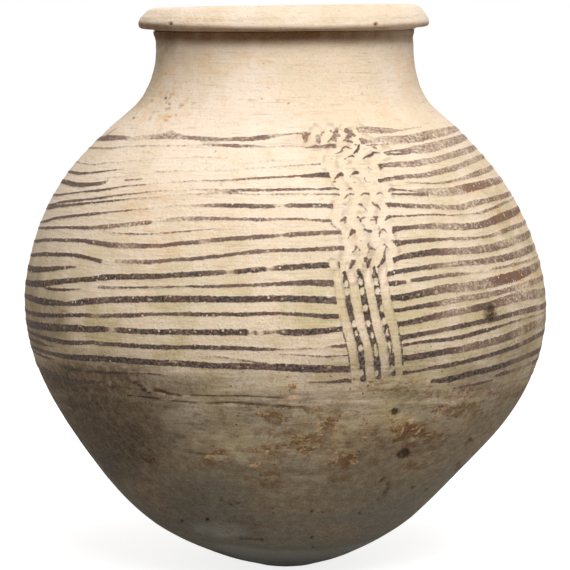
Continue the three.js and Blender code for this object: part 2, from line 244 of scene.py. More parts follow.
# Dark stripes of slip, read along their middle: (x, y, width) in pixels, with a fourth number,
# the slip's strength, where the slip is thin. They run from the left outline to the band of strokes.
LEFT_STRIPES = {
    "top": [
        (92, 141, 5, .8), (105, 138, 7, .9), (122, 138, 4, .8), (132, 139, 3, .35), (150, 137, 4, .45),
        (160, 137, 5, .6), (168, 135, 8, .6), (180, 137, 4, .6), (190, 138, 3, .8), (205, 139, 3.5, .8),
        (226, 139.5, 2.5, .8), (235, 139, 3.5, .85), (251, 139, 3.5, .8), (262, 137.5, 4.5, .8),
        (275, 136, 3, .6), (285, 134.5, 1.5, .5), (300, 133, 1.5, .6), (308, 134, 4, .7),
    ],
    "smear": [
        (98, 141, 3, .75), (104, 137, 6, .7), (111, 132, 4.6, .6), (119, 127, 2.4, .4),
    ],
    "collar": [
        (92, 149, 2, .7), (112, 148.5, 2, .6), (128, 146.5, 1.3, .5), (150, 146, 1.4, .5),
        (176, 146, 1.2, .35), (205, 145, 2, .4), (225, 145.5, 2.6, .8), (240, 146, 2.8, .85),
        (255, 146, 2, .6), (268, 147, 1.5, .4), (290, 146, 1.2, .35), (308, 146.5, 2, .7),
        (322, 146, 3.2, .85), (337, 145.5, 3, .8),
    ],
    "hair_1": [
        (82, 164, 1.3, .6), (95, 165, 1.3, .55), (106, 163, 1.5, .5), (125, 162, 1, .25),
        (165, 158, 1, .25), (200, 157, 1, .35), (228, 158, 1, .3),
    ],
    "hair_2": [
        (240, 163, 1, .2), (262, 161, 1, .3), (290, 160, 1, .25), (320, 159, 1, .15),
    ],
    "third": [
        (66, 170.5, 3), (71, 172, 3), (80, 173.5, 2.6), (92, 173, 2, .95), (104, 171.5, 2, .9),
        (116, 170, 1.6, .7), (124, 169.5, 1.2, .4), (133, 165.5, 1.5, .3),
    ],
    "third_b": [
        (155, 172.5, 2, .35), (170, 171.5, 2, .3), (190, 171, 1.4, .3), (212, 171, 1.3, .35),
        (232, 170, 1.2, .35), (255, 168, 1, .35), (275, 167, 1.1, .4), (300, 165, 1.5, .55),
        (321, 164, 1.8, .6),
    ],
    "stub_a": [
        (58, 181, 5), (66, 182, 5), (76, 184.5, 4.5), (86, 185, 4, .95), (98, 184, 3.5, .9),
        (107, 182, 2.6, .9),
    ],
    "stub_b": [
        (124, 180.5, 2, .8), (134, 180, 1.8, .85), (143, 179, 1.2, .8),
    ],
    "stub_c": [
        (95, 179, 1.2, .3), (112, 177.5, 1.2, .3), (130, 175.5, 1.1, .35), (150, 174, 1.1, .3),
    ],
    "fifth": [
        (50, 196, 3), (58, 195, 2.8), (66, 194, 2, .9), (82, 192, 1.8, .9), (96, 190.8, 2.2, .95),
        (108, 189.3, 2.2, .9), (122, 187, 1.7, .8), (138, 185.3, 1.5, .75), (152, 184, 1.3, .35),
        (172, 182, 1.3, .35), (198, 181, 1.5, .4), (228, 180.5, 1.8, .6), (245, 179, 1.9, .75),
        (262, 178, 1.8, .8), (282, 177, 1.7, .75), (298, 176, 2, .85), (312, 175.5, 3, .95),
        (320, 175, 4.4), (330, 174.5, 4.6),
    ],
    "sixth": [
        (44, 206.5, 3), (52, 205, 3.2), (62, 202, 2.6), (74, 200.7, 2.4), (90, 199.3, 2.2),
        (104, 197.5, 2.2, .95), (116, 195.8, 1.9, .8), (128, 194.3, 1.8, .75), (138, 193.6, 1.6, .7),
        (152, 191.5, 1.2, .35), (172, 190.5, 1.2, .3), (200, 189.5, 1.4, .3), (222, 190.3, 2.2, .6),
        (232, 190.5, 2.4, .75), (245, 190, 2.6, .9), (262, 190.2, 2.2, .85), (280, 189.5, 2.2, .9),
        (300, 189.2, 2.2, .9), (316, 189.2, 1.6, .85), (330, 188.6, 2.4), (340, 189, 1.8, .9),
    ],
    "seventh": [
        (42, 210, 3), (50, 208, 3.4), (60, 206, 3), (72, 204.8, 2.6), (88, 203.4, 2.2), (102, 202, 2),
        (112, 201, 2, .95), (120, 200.3, 1.8, .9), (134, 198.7, 1.4, .5), (152, 197.5, 1.1, .3),
        (178, 195, 1.1, .3), (204, 193.8, 1.4, .45), (222, 192.8, 2.2, .6), (238, 193.2, 1.8, .7),
        (248, 194.2, 1.1, .55), (275, 194.3, 1.1, .55), (300, 194, 1.1, .55), (320, 194.2, 1.4, .75),
        (340, 194, 1.6, .8),
    ],
    "eighth": [
        (38, 224, 2, .9), (47, 221, 3), (54, 218.5, 2.8), (66, 216.8, 2.6), (80, 215.3, 2.6),
        (92, 214, 2.6), (102, 213, 2, .9), (112, 212, 1.6, .8), (124, 211, 1.6, .75),
        (136, 209.6, 1.4, .4), (156, 208, 1.2, .3), (176, 205.5, 1.6, .3), (196, 205.5, 1.8, .4),
        (210, 205.6, 2.6, .7), (222, 205.5, 3.6, .9), (240, 205.7, 3.8), (258, 206.2, 3.4, .95),
        (272, 206.3, 3, .9), (280, 206, 1.5, .2), (288, 205.3, 3, .85), (300, 205.5, 3.4, .95),
        (318, 205.5, 3.6), (333, 206, 3.4),
    ],
    "ninth": [
        (38, 228.5, 2.5, .7), (46, 228, 2.8), (60, 227.5, 2.4), (74, 227.5, 2.4), (88, 228, 2.8, .95),
        (100, 227.3, 3.4, .8), (112, 226.2, 3.6, .75), (126, 225, 3.6, .7), (140, 223, 3.2, .65),
        (150, 222.8, 3.2, .8), (156, 221.5, 1.2, .2), (170, 219.8, 3, .5), (184, 218.8, 3.6, .65),
        (196, 218.7, 3.4, .75), (212, 218.6, 2.8, .8), (228, 219, 2.6, .9), (238, 219.2, 2, .8),
        (246, 219, 2.6, .9), (260, 219.8, 3, .9), (275, 219.2, 2, .7), (290, 218.9, 2, .75),
        (303, 219, 2, .7), (312, 220, 2, .75), (324, 220.6, 2.6, .85), (332, 221, 2.2, .85),
    ],
    "hair_3": [
        (104, 231, 1, .4), (116, 233.2, 1.2, .6), (130, 234, 1.4, .75), (146, 234.2, 1.6, .75),
        (158, 233.5, 1, .5), (178, 232, 1.5, .7), (200, 230, 1.4, .75), (212, 229, 1, .6),
        (226, 228, .8, .3),
    ],
    "tenth": [
        (30, 242, 3), (38, 241, 3.4), (46, 239.8, 3), (60, 240, 2.8), (76, 240.3, 3), (86, 241, 3.6),
        (97, 243, 4.2, .95), (110, 244.8, 4.6, .8), (124, 245.8, 4.6, .7), (136, 246, 4.4, .75),
        (146, 246, 4, .9), (154, 246, 3.6, .6), (166, 245.3, 3.4, .85), (180, 243.3, 3.2, .85),
        (196, 242.2, 3.6, .9), (206, 241, 3, .6), (216, 240, 3.4, .95), (232, 238.6, 3.2, .9),
        (246, 237.8, 3.4, .9), (260, 236.8, 4, .9), (274, 235.8, 3, .8), (282, 235, 2, .6),
        (288, 235, 4, .85), (304, 233.8, 3.6, .85), (322, 232.7, 3.4, .8), (342, 232.3, 4, .85),
    ],
    "eleventh": [
        (28, 256, 3, .8), (34, 255, 3.4), (44, 254.2, 3.6), (60, 254.6, 3.4), (74, 255, 3.2),
        (84, 256.8, 3), (92, 259, 3), (101, 261.5, 3, .9), (108, 262, 1, .2), (117, 261, 3, .5),
        (134, 261.8, 3.6, .55), (150, 262, 3.8, .7), (164, 260.8, 3, .7), (178, 259.5, 2.8, .85),
        (194, 258.8, 3, .95), (204, 257.6, 2.8, .95), (220, 256, 2.8, .9), (236, 253.8, 2.8, .9),
        (250, 252.2, 2.8, .9), (258, 251.5, 4.6, .9), (266, 250.9, 2.4, .8), (280, 250.4, 2.8, .9),
        (300, 250, 3, .95), (318, 249, 3.2, .9), (345, 248, 3.8, .85),
    ],
    "wedge": [
        (24, 268, 6), (34, 269.5, 6.5), (46, 269.3, 5), (58, 268.3, 3.6), (68, 267.4, 2.4),
        (78, 267, .8, .8),
    ],
    "twelfth": [
        (22, 283, 5), (32, 283.5, 6), (42, 284, 6.4), (54, 282.3, 5.4), (68, 280.8, 4.6), (82, 279.8, 4.2),
        (94, 279, 5), (104, 277.3, 5), (120, 276.8, 5), (140, 276.6, 5, .95), (160, 276.2, 4.6, .95),
        (178, 275, 4.6, .95), (198, 273.8, 4.8), (214, 272.9, 4.2, .9), (225, 272.2, 3.4, .9),
        (230, 272, 2, .3), (238, 271.8, 4.4), (252, 270, 4.2), (266, 269.2, 3.8), (270, 269, 2, .3),
        (276, 268.3, 4.4), (292, 267, 4.8), (308, 266, 4.8), (322, 265.2, 5), (340, 264.6, 5.4),
    ],
    "stub_d": [
        (44, 287.5, 1.6, .8), (52, 289.3, 2.6), (62, 290, 2.6), (72, 289.5, 1.8, .9), (84, 289, .8, .4),
    ],
    "thirteenth": [
        (97, 287, 2.6, .6), (110, 287.6, 2.4, .65), (126, 287.6, 2, .85), (142, 287.3, 1.8, .8),
        (158, 287.2, 2.2, .6), (174, 286.7, 1.6, .8), (190, 286.2, 1.8, .85), (208, 286.3, 2.6, .95),
        (226, 286, 2.4, .9), (244, 285.3, 2.6, .9), (262, 284.6, 2.8, .9), (278, 283.8, 3, .95),
        (292, 283.2, 3.8, .95), (308, 282.6, 4.8, .95), (322, 283, 6, .8), (334, 283, 6.6, .85),
    ],
    "fourteenth": [
        (22, 295, 4), (30, 297.5, 5), (38, 300.5, 6), (48, 302.3, 6), (57, 302.8, 5), (66, 304, 3.6, .9),
        (76, 303.2, 4.6, .9), (88, 301.3, 6.4), (98, 301, 5.6, .85), (110, 299.8, 5.6, .85),
        (124, 299.5, 5.8, .95), (142, 299.3, 5.6, .95), (160, 299, 5.6), (180, 298.9, 5.8),
        (204, 299, 5.6), (226, 299.5, 5.6), (248, 299.3, 5.8), (270, 298.6, 5.4), (292, 298.5, 5.6),
        (312, 299.5, 6.2), (326, 300, 6.4), (337, 300.5, 6.6),
    ],
    "fifteenth": [
        (22, 309, 3), (30, 312.8, 3.6), (40, 315, 3.8), (54, 315.6, 3.2), (70, 315.3, 3), (84, 314.8, 3),
        (94, 316, 3.6, .6), (104, 315.8, 3.2, .9), (118, 315.5, 3.4, .8), (132, 315.4, 4, .95),
        (148, 314.3, 3, .85), (166, 314, 2.6, .9), (184, 314, 3.2, .85), (202, 314.3, 3.2, .95),
        (222, 314.2, 2.8, .95), (240, 314.6, 3.2, .95), (260, 313.7, 2.8, .95), (280, 313.3, 2.6, .95),
        (298, 314.3, 3, .95), (312, 315.3, 3.6, .9), (324, 316.4, 4.2, .95), (339, 316.3, 3.8, .95),
    ],
    "sixteenth": [
        (24, 323, 5), (34, 325.2, 6.4), (46, 326.8, 6.6), (60, 328, 6.4), (76, 328.4, 6), (90, 329.2, 5.4),
        (104, 329.2, 5.2), (112, 329.5, 3, .35), (120, 330, 5), (134, 331, 4.6), (152, 331.8, 5),
        (172, 332, 4.8), (194, 332, 5, .95), (214, 332.2, 5.2), (236, 332.3, 5.6), (248, 332.3, 5.6),
        (251, 332.5, 2, .4), (256, 333, 4.4, .9), (260, 333, 2, .2), (266, 332.6, 4, .8),
        (274, 331.5, 2, .4), (282, 332.3, 5.6), (298, 332.5, 6), (316, 331.6, 5.4), (332, 330, 4.8),
        (343, 329, 4),
    ],
    "seventeenth": [
        (26, 331, 2), (36, 334.8, 2.8), (46, 338.4, 3.4), (58, 341, 4), (70, 342.8, 4), (82, 342.6, 3.8),
        (94, 342.3, 3.4, .9), (104, 344, 3.4, .85), (118, 344.3, 3.6), (132, 345.6, 3.6),
        (146, 346.6, 3.6, .9), (162, 347.1, 3.8), (180, 347.1, 3.4), (200, 347, 3.8), (220, 347.8, 3.4),
        (240, 348.2, 3.4), (258, 349.2, 3, .9), (274, 349.4, 2.2, .85), (286, 349.6, 2, .5),
        (294, 349.2, 2, .4), (304, 348.5, 1.8, .6), (312, 348.5, 2, .5), (322, 347.5, 1.2, .2),
        (332, 346.3, 2.4, .75), (349, 345.5, 2.8, .85),
    ],
    "hair_4": [
        (278, 354, 1, .4), (294, 354.6, 1.4, .7), (310, 355.6, 1.5, .8), (326, 356.6, 1.8, .8),
        (342, 355.6, 1.6, .8), (351, 355, 1.8, .9),
    ],
    "hair_5": [
        (206, 354.6, .8, .5), (222, 357, .9, .7), (238, 359.6, 1, .75), (252, 361.8, 1.4, .85),
        (268, 363.5, 1.6, .8),
    ],
    "eighteenth": [
        (34, 348.6, 2.6), (44, 351.8, 2.8), (54, 354, 3.2), (64, 356.2, 4), (76, 357.4, 5), (90, 358, 5.4),
        (106, 358.7, 5.2), (122, 359.8, 5), (138, 361.3, 5.2), (156, 362.2, 5), (176, 363.3, 4.8),
        (198, 364.8, 5.2), (218, 365.7, 5), (238, 366, 5.2), (258, 366.6, 5.4), (268, 367.2, 4.6, .8),
        (278, 367, 6), (296, 367.8, 7), (312, 368.8, 6.6), (328, 368.8, 6.2), (342, 368.8, 5.8),
        (352, 369, 5.6),
    ],
    "stub_e": [
        (48, 360, 1.6, .5), (58, 364, 2, .6), (66, 368, 3.2), (73, 369, 2.4), (84, 371, 1.6, .8),
        (98, 371.7, 2, .9), (114, 372.4, 2.4), (130, 373, 1.8, .95), (146, 373.2, 1.6, .9),
        (158, 374.3, 1.8, .85), (169, 376, 1, .4),
    ],
    "nineteenth": [
        (42, 369, 3, .9), (52, 374.5, 3.4), (64, 379, 3.4), (76, 381.4, 3.6, .95), (92, 382.4, 3, .9),
        (106, 381.3, 2.2, .8),
    ],
    "edge_a": [
        (31, 340, 2.4, .9), (38, 342.7, 2.6, .95), (46, 345.2, 2, .85), (55, 346.8, 1.2, .6),
    ],
    "edge_b": [
        (38, 354, 2.2, .9), (45, 357.2, 2.2, .9), (55, 359.6, 1.6, .7),
    ],
    "last": [
        (300, 382, 1, .3), (312, 382.2, 1.8, .8), (322, 381.7, 1.4, .7), (332, 382, 2.2, .9),
        (345, 380.3, 3.4, .95), (354, 381, 2.4, .9),
    ],
}

# Stripes from the band of strokes to the right outline
RIGHT_STRIPES = {
    "top": [
        (357, 129, 4, .6), (366, 130, 6, .6), (378, 130.5, 5.6, .6), (390, 130.8, 4, .6),
        (400, 130.5, 1.6, .6), (410, 128.6, 1.2, .5), (422, 126.8, .8, .3),
    ],
    "collar": [
        (360, 140.5, 5, .8), (368, 141, 4, .6), (380, 139.5, 5, .5), (394, 139.5, 6, .55),
        (406, 139.5, 7, .6), (418, 137.5, 7.6, .6), (430, 134.5, 7, .6), (442, 132, 6.4, .6),
        (452, 129, 6, .6), (462, 126, 5, .6),
    ],
    "hair_1": [
        (366, 144.5, 1.6, .7), (380, 144.6, 1.2, .6), (394, 143.3, 1.2, .6), (408, 142.8, 1, .4),
    ],
    "third": [
        (384, 151.8, 1.4, .85), (394, 150.9, 1.6, .9), (404, 150.3, 2.6, .8), (414, 149.8, 6, .6),
        (426, 148.3, 8, .6), (438, 145.2, 7, .55), (450, 141.6, 6.6, .6), (460, 138, 6.4, .65),
        (470, 134.4, 5, .65),
    ],
    "third_b": [
        (387, 154, 2, .85), (398, 154, 2, .85), (410, 152.6, 2.4, .8),
    ],
    "fourth": [
        (379, 167, 5, .95), (383, 165.6, 3, .95), (392, 164.8, 4, .8), (402, 164.4, 5, .65),
        (412, 164, 5.2, .7), (422, 162, 5, .6), (432, 160.3, 5, .55), (442, 157.7, 4.6, .6),
        (452, 154.6, 4.6, .55), (462, 151.3, 5, .6), (472, 147.6, 5.4, .65), (482, 143, 5, .65),
    ],
    "fifth": [
        (378, 179.6, 2.4, .9), (390, 178.1, 1.8, .95), (402, 176.6, 2.8, .85), (414, 176.1, 3.2, .75),
        (426, 174.8, 3.6, .8), (438, 172, 4, .75), (448, 169.3, 4.4, .65), (458, 166.3, 4.2, .6),
        (468, 161.8, 4, .6), (478, 157.5, 4.4, .65), (490, 152, 4.4, .65),
    ],
    "fifth_b": [
        (380, 181, 1.6, .85), (390, 180.2, 1.3, .8), (404, 178.6, 1.6, .85),
    ],
    "hair_2": [
        (404, 182.2, 1, .6), (418, 182.8, 1.2, .75), (434, 183.2, 1.4, .8), (446, 182, 1.8, .75),
        (458, 179.3, 2, .6), (470, 175.3, 3.6, .6), (480, 171.8, 4, .7), (490, 167.5, 4.4, .6),
        (500, 162, 4, .6),
    ],
    "sixth": [
        (389, 189.6, 2.6, .9), (400, 189.7, 2, .85), (412, 190.6, 1.6, .6), (424, 190.8, 5, .55),
        (438, 191.8, 7, .5), (452, 191.2, 7.2, .55), (466, 187.8, 7.4, .62), (478, 185, 6.6, .65),
        (490, 181.6, 6.4, .65), (502, 178, 6.4, .65), (512, 174, 6, .65),
    ],
    "sixth_b": [
        (391, 193.8, 1.6, .9), (402, 194.1, 2, .9), (414, 194.3, 2.4, .8), (428, 194.4, 2.4, .8),
    ],
    "seventh": [
        (387, 204.5, 4.4, .9), (396, 204.9, 3.2, .95), (408, 205.6, 3.4), (422, 206, 3.4, .85),
        (436, 206.2, 3.4, .7), (450, 207, 3.6, .6), (462, 206.4, 4.4, .65), (474, 202.6, 4.6, .6),
        (486, 199.9, 3.6, .8), (498, 196.9, 4.2, .7), (508, 193.6, 4.6, .75), (518, 189.5, 4.4, .7),
    ],
    "eighth": [
        (386, 218, 3, .9), (392, 216.2, 1.8, .9), (406, 215.6, 1.6, .9), (420, 214.6, 1.6, .9),
        (436, 214, 1.8, .85), (452, 214.7, 1.4, .6), (468, 213.6, 1.6, .5), (482, 211.6, 2, .65),
        (494, 206.8, 2.2, .75), (504, 202, 2, .7), (514, 197, 2, .65),
    ],
    "ninth": [
        (393, 229.3, 5, .95), (402, 227.8, 3.6), (412, 227, 3), (424, 226, 4.2, .9), (436, 225.3, 5, .8),
        (448, 226, 5.6, .6), (462, 226.2, 5.6, .6), (476, 225, 5.4, .75), (488, 222, 5.4, .75),
        (498, 217.8, 7, .75), (508, 213.6, 7.4, .75), (518, 208, 7, .75), (526, 203, 6, .7),
    ],
    "tenth": [
        (394, 241.6, 4), (398, 242.9, 4.2), (408, 241.3, 3.4), (420, 240.3, 3.2), (434, 239.2, 3, .95),
        (448, 238.2, 2.2, .7), (462, 237.9, 2.6, .7), (476, 236.9, 2, .75), (490, 235, 2, .8),
        (502, 231, 3.2, .75), (514, 226, 3.6, .75), (524, 221, 4.4, .75), (532, 217, 4.4, .7),
    ],
    "eleventh": [
        (393, 260, 4.6), (402, 256.6, 4.4), (412, 254.6, 4.6), (424, 252.8, 5), (436, 251, 5.6, .9),
        (450, 250.6, 6.2, .65), (464, 250, 5.6, .65), (478, 248.6, 6, .6), (492, 246.6, 6.4, .65),
        (504, 243, 7, .7), (516, 238.6, 6.6, .75), (528, 233, 6.6, .75), (536, 229, 6, .7),
    ],
    "twelfth": [
        (387, 274, 4.6), (394, 272, 4), (406, 269.8, 3.8), (420, 267.5, 3.6), (434, 265.4, 4, .95),
        (448, 263.6, 4.2, .75), (462, 262.2, 4.4, .7), (476, 260.8, 4.4, .7), (490, 259, 4.6, .7),
        (502, 257.2, 5.4, .75), (514, 254, 6, .75), (526, 249.4, 6.4, .75), (538, 243, 6, .7),
    ],
    "thirteenth": [
        (386, 284.6, 4.4), (396, 282.8, 4), (405, 281.6, 3, .9), (408, 281, 1.2, .1), (412, 279.6, 3.4),
        (424, 278, 3.4), (436, 276, 3, .95), (450, 273.8, 3, .8), (462, 272.4, 2.4, .75),
        (470, 271.8, 1.6, .5), (486, 269, 1.6, .3), (498, 266.6, 2, .6), (512, 263.6, 2.2, .65),
        (524, 260.6, 2, .6), (536, 256, 2, .5),
    ],
    "fourteenth": [
        (390, 298, 5.6), (402, 297, 5.8), (414, 294.4, 6), (426, 291.5, 6.2, .85), (438, 288.6, 6.8, .65),
        (450, 287, 7.4, .65), (464, 285.6, 7.6, .6), (478, 283.8, 8, .55), (490, 281, 8.6, .6),
        (502, 278, 9, .75), (514, 275, 8.8, .75), (526, 270, 8, .7), (538, 262, 7, .65), (546, 256, 6, .6),
    ],
    "fifteenth": [
        (392, 310.6, 3), (402, 309.2, 2.6), (414, 306.8, 3.4), (426, 304.4, 4, .95),
        (438, 302.6, 4.4, .75), (450, 300, 4.6, .7), (462, 297.2, 4.8, .6), (476, 295.2, 5, .6),
        (490, 292.6, 4.4, .6), (502, 289.8, 4.2, .6), (516, 286, 4.6, .6), (530, 281, 5, .55),
        (546, 274, 5, .55),
    ],
    "sixteenth": [
        (396, 324, 4.2), (406, 322.6, 4), (418, 319.8, 4.8), (430, 316.5, 5.4, .95), (442, 313.8, 5.6, .8),
        (454, 311, 5.8, .75), (466, 308.9, 5, .75), (478, 306, 5.4, .8), (490, 303.6, 6, .8),
        (502, 299.8, 7.6, .6), (514, 296, 8.4, .55), (526, 293, 9, .55), (538, 292, 8, .6),
        (550, 290, 7, .6),
    ],
    "seventeenth": [
        (400, 337.6, 4.2), (412, 335.2, 4), (424, 332.7, 3.6), (436, 330.2, 3.6), (448, 327.6, 3.4, .95),
        (460, 325, 3.8, .95), (472, 322.3, 3.8, .9), (484, 319.6, 3.6, .9), (496, 317.3, 3.6, .9),
        (508, 313.7, 3.8, .85), (520, 310.6, 4, .8), (532, 307.5, 4.6, .85), (544, 304, 4.6, .85),
        (552, 301, 4.6, .8),
    ],
    "hair_3": [
        (400, 345.4, 2.4), (414, 342.6, 2.2, .95), (428, 340.4, 2.6, .95), (440, 339.3, 3, .95),
        (452, 337.8, 3, .9), (464, 335, 3.4, .95), (476, 331.6, 3.4), (488, 328.4, 3, .95),
        (500, 324.6, 2.2, .85), (512, 320.6, 2, .75), (526, 316.4, 1.8, .65), (540, 312, 1.8, .6),
        (552, 308, 1.8, .6),
    ],
    "eighteenth": [
        (401, 358, 5), (412, 356.8, 5.2), (424, 354.6, 5.4), (436, 352.4, 5, .95), (448, 350.4, 5.2, .85),
        (460, 348.2, 5.6, .7), (472, 345.2, 6, .65), (484, 342.4, 6, .65), (496, 339.4, 6, .7),
        (508, 335.3, 6.4, .8), (520, 330, 7, .8), (532, 324.6, 7.2, .8), (544, 318, 7, .75),
        (552, 313, 7, .7),
    ],
    "nineteenth": [
        (400, 372.6, 3.6), (410, 371.6, 2.4), (422, 369.2, 2, .9), (434, 366.6, 2.8),
        (448, 364.6, 3.4, .95), (460, 361.6, 3), (474, 358, 3), (488, 354.4, 2.8), (502, 350.2, 3.2),
        (514, 345.8, 3.6), (526, 340.4, 3.8), (538, 333.6, 4), (550, 327, 4, .95),
    ],
    "twentieth": [
        (430, 380.6, 2.6, .95), (440, 380, 4.4), (452, 377.6, 5), (464, 374.2, 4.4), (476, 371.2, 4),
        (488, 368.6, 4.4), (500, 365.2, 4.2), (512, 361, 4), (524, 356, 3.6), (536, 350.6, 3.6, .95),
        (548, 343, 3.6, .95),
    ],
    "hair_4": [
        (494, 375.4, 2, .9), (504, 372, 2.8, .95), (516, 368.6, 2.4, .9), (526, 364.4, 2.2, .85),
        (538, 358, 2.4, .85), (548, 352, 2.4, .8),
    ],
    "last": [
        (452, 387.6, 1.4, .7), (466, 385, 1.8, .9), (482, 381.8, 2, .85), (492, 379, 1.4, .5),
    ],
    "last_b": [
        (498, 385, 1.2, .5), (512, 381, 1.4, .6), (528, 376, 1.6, .6), (540, 370, 1.6, .6),
    ],
}

# The band of four strokes that the comb left as it was drawn down: pale furrows as (x, y) in pixels
STROKE_WIDTH_PX = 8.6
STROKES = [
    [(333, 262), (338.3, 280), (340.8, 300), (347, 327), (352, 345), (355, 367), (356, 384)],
    [(349, 266), (352.7, 280), (356.3, 300), (361.7, 327), (368, 345), (369.7, 367), (370.5, 384)],
    [(367, 268), (368.5, 280), (371.8, 300), (377.5, 327), (382, 345), (384.7, 360), (385.5, 377)],
    [(383, 266), (383.7, 280), (386.5, 300), (393.2, 327), (396, 345), (397.8, 360), (398, 375)],
]
# Above them the comb was swung from side to side, which left furrows that run zigzag
SWINGS = [
    [(317, 131), (309, 145)], [(330, 131), (322, 143)],
    [
        (343, 130), (341, 140), (338, 149), (332, 153), (330, 164), (333, 174), (340, 184), (343, 190),
        (341, 198), (338.5, 205), (336.5, 214), (337, 219), (343, 226), (347, 232), (347, 240),
        (349.5, 248), (347, 256), (344.5, 265), (340, 272), (338, 277),
    ],
    [
        (357, 131), (356, 142), (352, 150), (345, 154), (342, 160), (345, 165), (347.5, 174), (355, 184),
        (358, 190), (356, 198), (354, 205), (351.5, 214), (351.5, 219), (357, 226), (360.5, 232),
        (361, 240), (364, 248), (362, 256), (359, 265), (354, 272), (352.5, 277),
    ],
    [
        (366, 142), (362, 150), (357, 157), (357, 160), (361, 165), (364, 174), (370, 184), (373, 190),
        (373, 198), (371, 205), (368, 214), (367, 219), (371, 226), (376, 232), (376, 240), (380, 248),
        (377.5, 256), (375, 265), (370, 272), (368.5, 277),
    ],
    [
        (384, 153), (377, 157), (372, 161), (374, 166), (376, 174), (383, 184), (386, 190), (386.5, 198),
        (384, 205), (382.5, 214), (382, 219), (387, 226), (390, 232), (390, 240), (392.5, 248), (390, 256),
        (389, 265), (385, 272), (383.5, 277),
    ],
]
SWING_WIDTH_PX = 8.4
# Dark slip left between the furrows: (x, y, width)
GAP_BARS = [
    [
        (344.4, 272, 2), (345.8, 278, 5.6), (347.9, 300, 6.6), (350.8, 313, 6.2), (354.5, 327, 4.6),
        (360, 345, 6), (362.5, 367, 7), (363, 379, 6),
    ],
    [
        (358.6, 270, 3), (360, 276, 6.2), (364.3, 300, 7.4), (369.5, 327, 7.6), (374.5, 345, 6.4),
        (377, 360, 7.2), (378, 376, 7.2),
    ],
    [
        (374.6, 267, 1.6), (375.4, 275, 5.8), (379, 300, 6.8), (383, 320, 4.6), (386.5, 327, 6),
        (389, 340, 5.6), (392, 357, 7), (393, 373, 6),
    ],
]
# Pale spots in those bars
BAR_SPOTS = [
    (346.6, 283.4), (347, 291.7), (354.3, 323.5), (357, 333), (360.5, 348), (361, 373), (360.5, 282),
    (362, 291.5), (365.5, 308), (368, 323), (372, 335.5), (375.5, 347), (376, 353), (376, 373), (376, 281),
    (377.5, 291), (382, 308), (384, 321), (388, 332), (389.5, 345), (392, 350), (392, 368),
]
BAR_SPOT_RADIUS_PX = 2.1
# The spots are longer than wide: what their heights are shortened by before they are taken as round
BAR_SPOT_STRETCH = 0.70
# How much narrower the bars are than they were read
BAR_INSET = 0.2
BAR_STRENGTH = 0.95
# Thin slip at the band's upper left, which the first swung furrows cross: (x, y, width)
SMEAR = [(301, 137, 7), (318, 136, 10), (338, 134.5, 9), (356, 133.5, 7)]
SMEAR_STRENGTH = 0.55
# From here down a dark line of pushed-up slip borders the straight strokes
RIDGE_FROM = (300, 332)
RIDGE_TO = (366, 374)
# The straight strokes shallow out towards their lower ends
STROKE_FADE = (374, 388)
MARK_STRENGTH = 0.78
